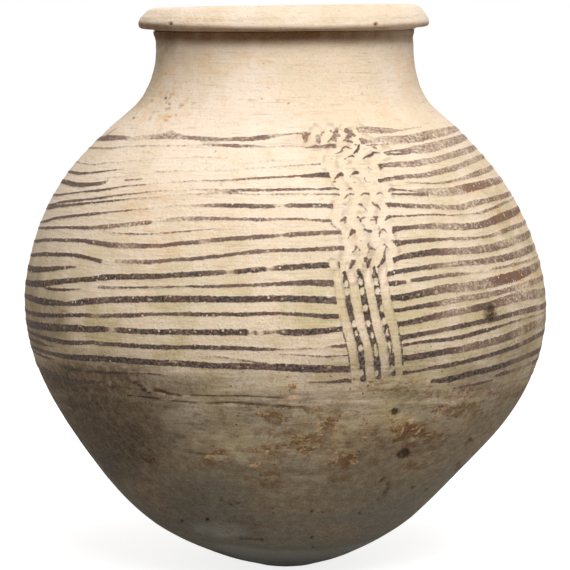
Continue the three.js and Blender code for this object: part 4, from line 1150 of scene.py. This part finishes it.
def dress(skin, s, angle):
    """Points and surface attributes of a skin for rows of distances and columns of angles."""
    s = np.asarray(s)[:, None]
    angle = np.asarray(angle)[None, :]
    at = Places(skin, s, angle)
    wall, ragged = at.wall, at.ragged
    bare = smoothstep(below_wash(at), -0.8, 1.0)
    tone = clay_tone_and_shade(at, bare)
    dark = at.stains(DARK_STAINS_AND_SHADE, 0.3 * ragged) + 0.5 * at.stains_behind(46.0, 14, 0.45, 0.9, 0.5 * ragged)
    rust = at.stains(RUST_STAINS, ragged) + 0.5 * at.stains_behind(52.0, 15, 0.2, 0.9, 0.5 * ragged)
    lime = at.spots(LIME_CRUSTS, 1.5 * ragged) + 0.6 * at.stains_behind(38.0, 16, 0.62, 1.0, ragged)
    pits = np.maximum.reduce([radius - np.hypot(at.x - cx, at.y - cy) for cx, cy, radius in PITS])
    pits = at.seen * smoothstep(pits + 0.9 * ragged, -0.8, 1.4)
    scrapes = at.lines(SCRAPES, 0.8, 14.0, 17, -0.7, 0.1)
    cracks = at.lines(CRACKS, 0.7, 7.0, 39, -0.7, -0.1)
    pocks = np.maximum(at.spots(POCKS, ragged), 0.4 * at.stains_behind(60.0, 33, 0.3, 0.9, 0.0))
    pocks = pocks * smoothstep(noise(wall, 2.5, 34) + 0.4 * noise(wall, 6.0, 35), 0.45, 0.75)
    peel = noise(wall, 6.0, 28) + 0.7 * noise(wall, 2.8, 29)
    low = smoothstep(tone, 0.3, 0.5)
    flakes = rust * low * smoothstep(peel, 0.1, 0.4)
    arcs = (1 - smoothstep(np.abs(peel - 0.2), 0.08, 0.30)) * patchy(wall, 7.0, 18, -0.2, 0.3)
    grains = smoothstep(noise(wall, 2.8, 19) + 0.5 * noise(wall, 9.0, 36), 0.30, 0.7)
    crumbs = lime * np.maximum(0.9 * arcs * low, grains)
    relief = lumps(wall) - PIT_DEPTH * pits - SCRAPE_DEPTH * scrapes - GRIT_DEPTH * coarse_pits(wall)
    relief = relief + CRUMB_RELIEF * crumbs - WASH_RELIEF * bare - FLAKE_DEPTH * flakes
    relief = relief - CRACK_DEPTH * cracks - POCK_DEPTH * pocks
    dark = dark + 0.7 * cracks + 0.35 * pocks
    rust = rust + 0.8 * pocks
    slip = np.full(at.x.shape, OUTSIDE)
    strength = np.zeros_like(slip)
    if skin is WALL:
        # The comb's dark residue, with painted shade along the straight strokes' edges
        slip, strength, comb_relief, residue = combed(at, s, angle, rust)
        relief = relief + comb_relief
        dark = dark + residue
    attributes = {
        "slip": np.clip(slip, -4.0, 4.0), "strength": strength, "tone": tone, "dark": dark + pits,
        "rust": rust, "lime": np.maximum(lime, 0.0), "crumbs": crumbs, "flakes": flakes,
        "shade_and_dirt": rim_shade_and_dirt(skin, at, angle),
    }
    return skin.points(s, angle, relief), attributes


# Meshes made of rings round the jar. No vertex lies farther from the axis than WIDEST.
WIDEST = 195.2
JOINT_EDGE_DEG = 55.0


def ring_piece(name, nodes, slot, rings, attributes, poles=()):
    """A closed piece from rings up its outside and down its inside, with poles where it ends on the axis."""
    rings = np.array(rings)
    reach = np.hypot(rings[..., 0], rings[..., 1])
    rings[..., :2] *= np.minimum(1.0, WIDEST / np.maximum(reach, 1e-6))[..., None]
    count, columns = rings.shape[:2]
    vertices = rings.reshape(-1, 3)
    last = count if not poles else count - 1
    here = np.arange(last)[:, None] * columns
    above = (np.arange(last)[:, None] + 1) % count * columns
    left = np.arange(columns)[None, :]
    right = (left + 1) % columns
    quads = np.stack(np.broadcast_arrays(here + left, here + right, above + right, above + left), -1)
    faces = quads.reshape(-1, 4).tolist()
    if poles:
        first_pole = len(vertices)
        vertices = np.vstack([vertices, poles])
        top = (count - 1) * columns
        for column in range(columns):
            following = (column + 1) % columns
            faces.append((first_pole, following, column))
            faces.append((top + column, top + following, first_pole + 1))
    mesh = bpy.data.meshes.new(name)
    mesh.from_pydata((vertices * MM).tolist(), [], faces)
    for label, values in attributes.items():
        full = np.zeros(len(vertices), np.float32)
        full[:values.size] = values.ravel()
        mesh.attributes.new(label, "FLOAT", "POINT").data.foreach_set("value", full)
    mesh.validate()
    mesh.shade_smooth()
    mesh.set_sharp_from_angle(angle=math.radians(JOINT_EDGE_DEG))
    mesh.materials.append(MATERIALS[slot])
    piece = bpy.data.objects.new(name, mesh)
    bpy.context.scene.collection.objects.link(piece)
    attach(piece, "root")
    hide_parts(*nodes)
    return piece


def spaced(start, stop, step):
    return np.linspace(start, stop, max(2, int(round(abs(stop - start) / step)) + 1))


# Materials. Colours are as they look, from 0 to 255. Sizes in the shaders are millimetres.
def colour(red, green, blue):
    def linear(channel):
        c = channel / 255
        return c / 12.92 if c <= 0.04045 else ((c + 0.055) / 1.055) ** 2.4
    return (linear(red), linear(green), linear(blue), 1.0)


PALE_CLAY = colour(239, 222, 203)
WARM_CLAY = colour(229, 210, 184)
GREEN_CLAY = colour(205, 188, 149)
# The lower body's colours, down to the foot, are darker than its clay alone: they hold painted shade of the
# lower body as well
DEEP_CLAY = colour(132, 118, 94)
UMBER_CLAY = colour(110, 86, 64)
MOSS_CLAY = colour(118, 111, 92)
FOOT_CLAY = colour(104, 102, 94)
SOLE_CLAY = colour(138, 138, 131)
SCUFF_CLAY = colour(158, 140, 114)
RUST_CLAY = colour(112, 78, 50)
SLIP_DARK = colour(43, 36, 33)
SLIP_GREY = colour(140, 116, 105)
SLIP_BROWN = colour(112, 79, 67)
SLIP_SIENNA = colour(136, 98, 76)
OCHRE_TINT = colour(250, 219, 174)
# Soot and dark stains, and also painted shade: along the comb's straight strokes and under the rim at the
# neck's left
SOOT_AND_SHADE_TINT = colour(114, 94, 76)
SPECK_TINT = colour(142, 106, 76)
# Painted shade, with some dirt, under the rim and on its lower edge
SHADE_AND_DIRT_TINT = colour(124, 97, 71)
LIME = colour(240, 224, 200)
GOLDEN_CRUST = colour(206, 166, 118)


class Value:
    """A value in a material, which sums and products are written with."""

    def __init__(self, graph, socket):
        self.graph = graph
        self.socket = socket

    def __add__(self, other):
        return self.graph.math("ADD", self, other)

    def __sub__(self, other):
        return self.graph.math("SUBTRACT", self, other)

    def __mul__(self, other):
        return self.graph.math("MULTIPLY", self, other)

    def step(self, low, high, least=0.0, most=1.0):
        """A smooth rise from least to most as the value goes from low to high."""
        node = self.graph.add("MapRange")
        node.interpolation_type = "SMOOTHSTEP"
        for socket, number in zip(node.inputs, (self, low, high, least, most)):
            self.graph.feed(socket, number)
        return Value(self.graph, node.outputs[0])


class Graph:
    """Short names for the nodes of one material."""

    def __init__(self, name):
        self.material = bpy.data.materials.new(name)
        self.material.use_nodes = True
        self.tree = self.material.node_tree
        self.shader = self.tree.nodes["Principled BSDF"]
        self.place = Value(self, self.add("TexCoord").outputs["Object"])

    def add(self, kind):
        return self.tree.nodes.new("ShaderNode" + kind)

    def feed(self, socket, value):
        """Sets a socket to a number or a colour, or links it to a value."""
        if isinstance(value, Value):
            self.tree.links.new(value.socket, socket)
        else:
            socket.default_value = value

    def noise(self, size, detail=2.0, flat=1.0):
        """Noise with features of a size in millimetres, squashed in height by flat."""
        squash = self.add("VectorMath")
        squash.operation = "MULTIPLY"
        self.feed(squash.inputs[0], self.place)
        squash.inputs[1].default_value = (1.0, 1.0, flat)
        node = self.add("TexNoise")
        node.inputs["Scale"].default_value = 1.0 / (size * MM)
        node.inputs["Detail"].default_value = detail
        self.tree.links.new(squash.outputs[0], node.inputs["Vector"])
        return Value(self, node.outputs["Fac"])

    def cells(self, size):
        """Distance to the nearest of points that are scattered about size apart."""
        node = self.add("TexVoronoi")
        node.inputs["Scale"].default_value = 1.0 / (size * MM)
        self.feed(node.inputs["Vector"], self.place)
        return Value(self, node.outputs["Distance"])

    def attribute(self, name):
        node = self.add("Attribute")
        node.attribute_name = name
        return Value(self, node.outputs["Fac"])

    def math(self, operation, a, b):
        node = self.add("Math")
        node.operation = operation
        self.feed(node.inputs[0], a)
        self.feed(node.inputs[1], b)
        return Value(self, node.outputs[0])

    def mix(self, amount, a, b, how="MIX"):
        node = self.add("Mix")
        node.data_type = "RGBA"
        node.blend_type = how
        self.feed(node.inputs["Factor"], amount)
        self.feed(node.inputs[6], a)
        self.feed(node.inputs[7], b)
        return Value(self, node.outputs[2])

    def tint(self, amount, base, colour_of_tint):
        return self.mix(amount, base, colour_of_tint, "MULTIPLY")

    def bump(self, height, distance):
        node = self.add("Bump")
        node.inputs["Distance"].default_value = distance * MM
        self.feed(node.inputs["Height"], height)
        self.tree.links.new(node.outputs[0], self.shader.inputs["Normal"])


class FiredClay(Graph):
    """Pale fired clay that darkens towards the foot, with the slip, stains and crust that the mesh names."""

    def __init__(self, name):
        super().__init__(name)
        self.patches = self.noise(52.0, 4.0)
        self.clouds = self.noise(30.0, 5.0)
        self.mottle = self.noise(13.0, 6.0, 1.6)
        self.scuffs = self.noise(6.5, 8.0, 1.3)
        self.flecks = self.noise(4.6, 5.0)
        self.gravel = self.noise(2.3, 2.5, 1.3)
        self.grain = self.noise(1.7, 3.0)
        self.fine = self.noise(1.1, 2.0)
        self.wipes = self.noise(20.0, 6.0, 9.0)
        self.tone = self.attribute("tone")
        self.low = self.tone.step(0.3, 0.5)
        rust = self.attribute("rust") * self.mottle.step(0.40, 0.58)
        self.rust = rust * self.flecks.step(0.34, 0.58, 0.3, 1.0)
        self.dark = self.attribute("dark") * self.flecks.step(0.26, 0.56, 0.65, 1.0)

    def ground(self):
        """The clay by its tone: pale, then greenish, then brown with moss and umber, and grey at the foot;
        the darker colours hold painted shade of the lower body as well as its clay.
        """
        tone = self.tone
        pale = self.mix(self.patches.step(0.36, 0.66), PALE_CLAY, WARM_CLAY)
        middle = self.mix(self.clouds.step(0.40, 0.60), GREEN_CLAY, WARM_CLAY)
        lower = self.mix(self.flecks.step(0.40, 0.64, 0.0, 0.35), DEEP_CLAY, UMBER_CLAY)
        lower = self.mix(self.clouds.step(0.46, 0.62, 0.0, 0.6), lower, MOSS_CLAY)
        lower = self.mix(self.mottle.step(0.52, 0.66, 0.0, 0.25), lower, UMBER_CLAY)
        uneven = (self.wipes - 0.5) * 0.20 + tone
        clay = self.mix(uneven.step(0.26, 0.66), self.mix(tone.step(0.02, 0.26), pale, middle), lower)
        scuffed = tone.step(0.30, 0.55)
        clay = self.mix(self.scuffs.step(0.50, 0.64, 0.0, 0.45) * scuffed, clay, SCUFF_CLAY)
        clay = self.mix(self.scuffs.step(0.36, 0.48, 0.5, 0.0) * scuffed, clay, UMBER_CLAY)
        clay = self.mix(tone.step(0.62, 0.92, 0.0, 0.75), clay, FOOT_CLAY)
        clay = self.mix(tone.step(0.90, 1.00, 0.0, 0.8), clay, SOLE_CLAY)
        clay = self.tint(self.wipes.step(0.50, 0.72, 0.0, 0.18), clay, OCHRE_TINT)
        return self.tint(self.flecks.step(0.46, 0.72, 0.0, 0.22), clay, OCHRE_TINT)

    def aged(self, clay):
        """Rust, soot and dark stains with some painted shade, flaked places, painted shade with some dirt
        under the rim and on its lower edge, dark grains and the fine lines of wiping.
        """
        clay = self.tint(self.rust, clay, OCHRE_TINT)
        clay = self.tint(self.rust * self.tone, clay, OCHRE_TINT)
        specks = self.noise(1.5, 3.0).step(0.46, 0.58, 0.0, 0.95)
        clay = self.tint(self.rust * self.low * specks, clay, SPECK_TINT)
        # Soot and dark stains, with painted shade along the straight strokes and under the rim
        clay = self.tint(self.dark, clay, SOOT_AND_SHADE_TINT)
        flakes = self.attribute("flakes")
        peeled = flakes + (self.flecks - 0.5) + (self.gravel - 0.5) * 2.0
        clay = self.mix(peeled.step(0.20, 0.50) * flakes.step(0.02, 0.2) * 0.65, clay, RUST_CLAY)
        # Painted shade, with some dirt, under the rim and on its rounded lower edge
        clay = self.tint(self.attribute("shade_and_dirt"), clay, SHADE_AND_DIRT_TINT)
        rough = self.tone.step(0.05, 0.35, 0.35, 1.0)
        clay = self.tint(rough * self.grain.step(0.26, 0.42, 0.36, 0.0), clay, SPECK_TINT)
        clay = self.tint(rough * self.fine.step(0.30, 0.55, 0.20, 0.0), clay, SPECK_TINT)
        pricks = self.cells(6.0).step(0.07, 0.17, 0.9, 0.0) * self.tone.step(0.20, 0.45)
        clay = self.tint(pricks * self.mottle.step(0.48, 0.58), clay, SPECK_TINT)
        clay = self.tint(self.flecks.step(0.24, 0.36, 0.25, 0.0), clay, SPECK_TINT)
        return self.tint(self.noise(24.0, 6.0, 22.0).step(0.30, 0.42, 0.22, 0.0), clay, SPECK_TINT)

    def slip(self):
        """The dark slip's colour and how much of the clay it covers."""
        strength = self.attribute("strength")
        edge = self.attribute("slip") + ((self.flecks - 0.5) * 1.6 + (self.grain - 0.5) * 1.6)
        worn = strength + (self.mottle - 0.5) * 0.5 + (self.gravel - 0.5) * 1.1
        cover = edge.step(-0.30, 0.42) * worn.step(0.08, 0.78) * self.flecks.step(0.62, 0.72, 1.0, 0.40)
        slip = self.mix(strength.step(0.45, 0.90), SLIP_BROWN, SLIP_DARK)
        slip = self.mix(self.gravel.step(0.40, 0.66, 0.0, 0.60), slip, SLIP_GREY)
        slip = self.mix(self.mottle.step(0.45, 0.66, 0.0, 0.40), slip, SLIP_BROWN)
        slip = self.mix(self.attribute("rust") * 0.65, slip, SLIP_SIENNA)
        # Soot on the slip, with painted shade along the straight strokes
        return self.tint(self.dark * 0.6, slip, SOOT_AND_SHADE_TINT), cover

    def crusted(self, surface, cover):
        """A film of lime, the crumbs of the mesh and small dots on the slip, which are given back as well."""
        film = self.attribute("lime") * self.flecks.step(0.40, 0.66) * self.tone.step(0.25, 0.50, 1.0, 0.2)
        surface = self.mix(film.step(0.0, 1.0, 0.0, 0.40), surface, LIME)
        crust = self.mix(self.tone.step(0.20, 0.45), LIME, GOLDEN_CRUST)
        crumbs = self.attribute("crumbs").step(0.15, 0.6, 0.0, 0.9) * self.gravel.step(0.40, 0.52, 0.15)
        surface = self.mix(crumbs, surface, crust)
        spread = self.cells(4.6) + (self.gravel - 0.5) * 0.5
        dots = spread.step(0.10, 0.22, 0.9, 0.0) * self.clouds.step(0.44, 0.58) * cover.step(0.2, 0.8, 0.3)
        dots = dots * (self.tone.step(0.04, 0.12) * self.tone.step(0.30, 0.44, 1.0, 0.0))
        surface = self.mix(dots, surface, crust)
        return self.mix(self.fine.step(0.40, 0.62, 0.0, 0.05), surface, LIME), dots


CLAY_ROUGHNESS = 0.93
SLIP_ROUGHNESS = 0.80
GLOSS = 0.22
BUMP_MM = 0.62


def fired_clay(name):
    clay = FiredClay(name)
    slip, cover = clay.slip()
    surface, dots = clay.crusted(clay.mix(cover, clay.aged(clay.ground()), slip), cover)
    clay.feed(clay.shader.inputs["Base Color"], surface)
    clay.feed(clay.shader.inputs["Roughness"], cover.step(0.0, 1.0, CLAY_ROUGHNESS, SLIP_ROUGHNESS))
    clay.shader.inputs["Specular IOR Level"].default_value = GLOSS
    height = clay.grain * 0.5 + clay.flecks * 1.2 + clay.wipes * 0.9
    height = height + clay.rust * clay.low * (clay.gravel * 6.0)
    height = height + dots * 0.8 + clay.cells(5.5).step(0.05, 0.20) * 0.5
    clay.bump(height, BUMP_MM)
    return clay.material


MATERIALS = {slot: fired_clay(slot) for slot in ("rim_clay", "body_clay", "base_clay", "dark_slip")}

# Sections of the jar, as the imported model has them
BASE_JOINT = arc_at_height(150.0)
NECK_JOINT = arc_at_height(NECK_JOINT_HEIGHT)
JOINT_BEVEL = 7.0
HALF_GAP = 0.03
SLIP_BOTTOM = arc_at_height(151.6)
SLIP_TOP = arc_at_height(336.0)
SLIP_BACK = 2.0
SLIP_SEAT = 2.1
# Distances between the rings: inside, on plain walls, on the comb, on the base and on the fillet
INNER_STEP = 9.0
PLAIN_STEP = 0.8
COMB_STEP = 0.77
BASE_STEP = 1.15
FILLET_STEP = 0.6
COLLAR_INNER_STEP = 4.0
# Where the base's first ring outside and its last one inside lie, measured from the axis
FIRST_RING = 3.0
LAST_RING = 12.0

# Angles of the columns in degrees: from, to, step. They are close in the band, wide behind.
COMB_COLUMNS = [(-98.0, 8.0, 0.95), (8.0, 41.0, 0.27), (41.0, 98.0, 0.95), (98.0, 262.0, 2.6)]
PLAIN_COLUMNS = [(-98.0, 98.0, 0.75), (98.0, 262.0, 1.6)]
BASE_COLUMNS = [(-98.0, 98.0, 0.6), (98.0, 262.0, 1.8)]


def columns(ranges):
    degrees = np.concatenate([np.arange(start, stop - step / 2, step) for start, stop, step in ranges])
    wrapped = np.where(degrees > 180.0, degrees - 360.0, degrees)
    return np.radians(np.sort(wrapped))


def inner_rings(top, bottom, angle, step=INNER_STEP):
    s = spaced(top, bottom, step)[:, None]
    return WALL.points(s, angle[None, :], -wall_at(s))


def under_slip(start, stop, angle, depth):
    """Rings below the slip, which follow the lumps of the wall."""
    s = spaced(start, stop, INNER_STEP)[:, None]
    return WALL.points(s, angle[None, :], lumps(WALL.points(s, angle[None, :])) - depth)


def base_bowl():
    angle = columns(BASE_COLUMNS)
    outside, attributes = dress(WALL, spaced(FIRST_RING, BASE_JOINT - HALF_GAP, BASE_STEP), angle)
    inside = inner_rings(BASE_JOINT - HALF_GAP + JOINT_BEVEL, LAST_RING, angle)
    poles = [settle(np.array([0.0, 0.0, 0.0])), settle(np.array([0.0, 0.0, WALL_THICKNESS[0][1]]))]
    rings = np.vstack([outside, inside])
    return ring_piece("base_bowl_fired", ["base_bowl"], "base_clay", rings, attributes, poles)


def body_wall():
    angle = columns(PLAIN_COLUMNS)
    lower, lower_marks = dress(WALL, spaced(BASE_JOINT + HALF_GAP, SLIP_BOTTOM, PLAIN_STEP), angle)
    upper, upper_marks = dress(WALL, spaced(SLIP_TOP, NECK_JOINT - HALF_GAP, PLAIN_STEP), angle)
    seat = under_slip(SLIP_BOTTOM, SLIP_TOP, angle, SLIP_SEAT)
    none = np.zeros(seat.shape[:2])
    attributes = {k: np.vstack([lower_marks[k], none, upper_marks[k]]) for k in lower_marks}
    inside = inner_rings(NECK_JOINT + JOINT_BEVEL, BASE_JOINT + JOINT_BEVEL, angle)
    rings = np.vstack([lower, seat, upper, inside])
    return ring_piece("body_wall_fired", ["body_wall"], "body_clay", rings, attributes)


def slip_coat():
    angle = columns(COMB_COLUMNS)
    outside, attributes = dress(WALL, spaced(SLIP_BOTTOM + HALF_GAP, SLIP_TOP - HALF_GAP, COMB_STEP), angle)
    back = under_slip(SLIP_TOP - HALF_GAP, SLIP_BOTTOM + HALF_GAP, angle, SLIP_BACK)
    rings = np.vstack([outside, back])
    return ring_piece("slip_coat_combed", ["slip_coat"], "dark_slip", rings, attributes)


MOUTH_RADIUS = 86.0


def neck_collar():
    angle = columns(PLAIN_COLUMNS)
    outside, attributes = dress(WALL, spaced(NECK_JOINT + HALF_GAP, WALL.length, PLAIN_STEP), angle)
    lip = settle(around(MOUTH_RADIUS, angle[None, :], NECK_TOP + JOINT_BEVEL))
    inside = inner_rings(WALL.length - 2.0, NECK_JOINT + HALF_GAP + JOINT_BEVEL, angle, COLLAR_INNER_STEP)
    rings = np.vstack([outside, lip, inside])
    return ring_piece("neck_collar_fired", ["neck_collar"], "rim_clay", rings, attributes)


# The rim's lower edge droops at the front and the back, and its lip sinks towards the left, as far as this
RIM_RISE = 1.6
LIP_DROP = 1.5


def rim_coil():
    angle = columns(PLAIN_COLUMNS)
    rings, attributes = dress(RIM, spaced(0.0, RIM.length, PLAIN_STEP), angle)
    reach = np.hypot(rings[..., 0], rings[..., 1])
    nose = smoothstep(reach, 95.5, 99.0) * (1 - smoothstep(rings[..., 2], 403.0, 414.0))
    lip = smoothstep(rings[..., 2], 405.0, 416.0) * (0.5 - 0.5 * np.clip(rings[..., 0] / 100.0, -1, 1))
    rings[..., 2] += RIM_RISE * nose * np.sin(angle) ** 2 - LIP_DROP * lip
    return ring_piece("rim_coil_fired", ["rim_coil"], "rim_clay", rings, attributes)


FILLET_SECTION = [(95.2, 390.4), (95.4, 393.6), (95.9, 396.2), (96.5, 398.2), (96.7, 400.1)]
FILLET_SEAT_RADIUS = 94.6


def rim_joint_fillet():
    angle = columns(PLAIN_COLUMNS)
    skin = Skin(smooth_curve(FILLET_SECTION), SMALL_REACH)
    outside, attributes = dress(skin, spaced(0.0, skin.length, FILLET_STEP), angle)
    ends = np.array([[FILLET_SECTION[-1][1]], [FILLET_SECTION[0][1]]])
    inside = settle(around(FILLET_SEAT_RADIUS, angle[None, :], ends))
    rings = np.vstack([outside, inside])
    return ring_piece("rim_joint_fillet_fired", ["rim_joint_fillet"], "rim_clay", rings, attributes)


COIL_WIDTH = 38.0
COIL_THICKNESS = 5.0
COIL_EDGE = 0.2
COIL_STEP = 2.0
COIL_COLUMNS = 240
COIL_TONE = 0.16


def joint_coil(node, joint):
    """A flattened coil pressed over a joint from the inside, with the dents of the potter's fingers."""
    angle = np.linspace(-math.pi, math.pi, COIL_COLUMNS, endpoint=False)[None, :]
    middle = joint + JOINT_BEVEL / 2
    s = spaced(middle - COIL_WIDTH / 2, middle + COIL_WIDTH / 2, COIL_STEP)[:, None]
    across = (s - middle) / (COIL_WIDTH / 2)
    back = WALL.points(s, angle, -wall_at(s))
    dents = 1.0 + 0.22 * noise(back, (16.0, 16.0, 30.0), 31) + 0.1 * noise(back, 5.0, 32)
    front = WALL.points(s, angle, -wall_at(s) - COIL_EDGE - COIL_THICKNESS * dents * (1 - across ** 2))
    rings = np.vstack([back, front[::-1]])
    tone = np.full(rings.shape[:2], COIL_TONE)
    return ring_piece(node + "_pressed", [node], "body_clay", rings, {"tone": tone})


base_bowl()
joint_coil("base_joint_coil", BASE_JOINT)
body_wall()
joint_coil("neck_joint_coil", NECK_JOINT)
neck_collar()
rim_joint_fillet()
rim_coil()
slip_coat()


# Studio: a pale floor that shows white to the camera and keeps the jar's shadow, and soft light from above
FLOOR_HALF = 30.0
FLOOR_ALBEDO = 0.55
FLOOR_GLOW = 0.82
WORLD_LIGHT = 0.305
WORLD_TINT = (1.0, 0.95, 0.88, 1.0)


def camera_sees(tree):
    """1 for what the camera sees, straight or in a reflection, and 0 for light on the object."""
    path = tree.nodes.new("ShaderNodeLightPath")
    total = path.outputs["Is Camera Ray"]
    for label in ("Is Glossy Ray", "Is Transmission Ray"):
        add = tree.nodes.new("ShaderNodeMath")
        add.operation = "MAXIMUM"
        tree.links.new(total, add.inputs[0])
        tree.links.new(path.outputs[label], add.inputs[1])
        total = add.outputs[0]
    return total


def make_floor():
    mesh = bpy.data.meshes.new("floor")
    corners = [(x * FLOOR_HALF, y * FLOOR_HALF, 0) for x, y in ((-1, -1), (1, -1), (1, 1), (-1, 1))]
    mesh.from_pydata(corners, [], [(0, 1, 2, 3)])
    material = bpy.data.materials.new("floor")
    material.use_nodes = True
    tree = material.node_tree
    shader = tree.nodes["Principled BSDF"]
    shader.inputs["Base Color"].default_value = (FLOOR_ALBEDO, FLOOR_ALBEDO, FLOOR_ALBEDO, 1.0)
    shader.inputs["Roughness"].default_value = 1.0
    shader.inputs["Emission Color"].default_value = (1.0, 1.0, 1.0, 1.0)
    glow = tree.nodes.new("ShaderNodeMath")
    glow.operation = "MULTIPLY"
    tree.links.new(camera_sees(tree), glow.inputs[0])
    glow.inputs[1].default_value = FLOOR_GLOW
    tree.links.new(glow.outputs[0], shader.inputs["Emission Strength"])
    mesh.materials.append(material)
    floor = bpy.data.objects.new("floor", mesh)
    bpy.context.scene.collection.objects.link(floor)


def make_world():
    world = bpy.data.worlds.new("world")
    bpy.context.scene.world = world
    world.use_nodes = True
    tree = world.node_tree
    background = tree.nodes["Background"]
    tint = tree.nodes.new("ShaderNodeMix")
    tint.data_type = "RGBA"
    tint.inputs[6].default_value = WORLD_TINT
    tint.inputs[7].default_value = (1.0, 1.0, 1.0, 1.0)
    tree.links.new(camera_sees(tree), tint.inputs["Factor"])
    tree.links.new(tint.outputs[2], background.inputs["Color"])
    strength = tree.nodes.new("ShaderNodeMapRange")
    for socket, number in zip(strength.inputs[1:5], (0.0, 1.0, WORLD_LIGHT, 1.0)):
        socket.default_value = number
    tree.links.new(camera_sees(tree), strength.inputs[0])
    tree.links.new(strength.outputs[0], background.inputs["Strength"])


# Lamps: name, place and aim in millimetres, width in metres, watts
LAMPS = [
    ("key", (300.0, -1420.0, 1750.0), (0.0, 0.0, 260.0), 1.1, 35.2),
    ("top", (200.0, 0.0, 1900.0), (0.0, 0.0, 300.0), 1.4, 10.0),
]


def make_lamp(name, place, aim, width, watts):
    data = bpy.data.lights.new(name, "AREA")
    data.size = width
    data.energy = watts
    lamp = bpy.data.objects.new(name, data)
    lamp.location = [v * MM for v in place]
    toward = [a - p for a, p in zip(aim, place)]
    across = math.hypot(toward[0], toward[1])
    lamp.rotation_euler = (math.atan2(across, -toward[2]), 0.0, math.atan2(-toward[0], toward[1]))
    bpy.context.scene.collection.objects.link(lamp)


make_floor()
make_world()
for lamp in LAMPS:
    make_lamp(*lamp)
bpy.context.scene.view_settings.view_transform = "Standard"
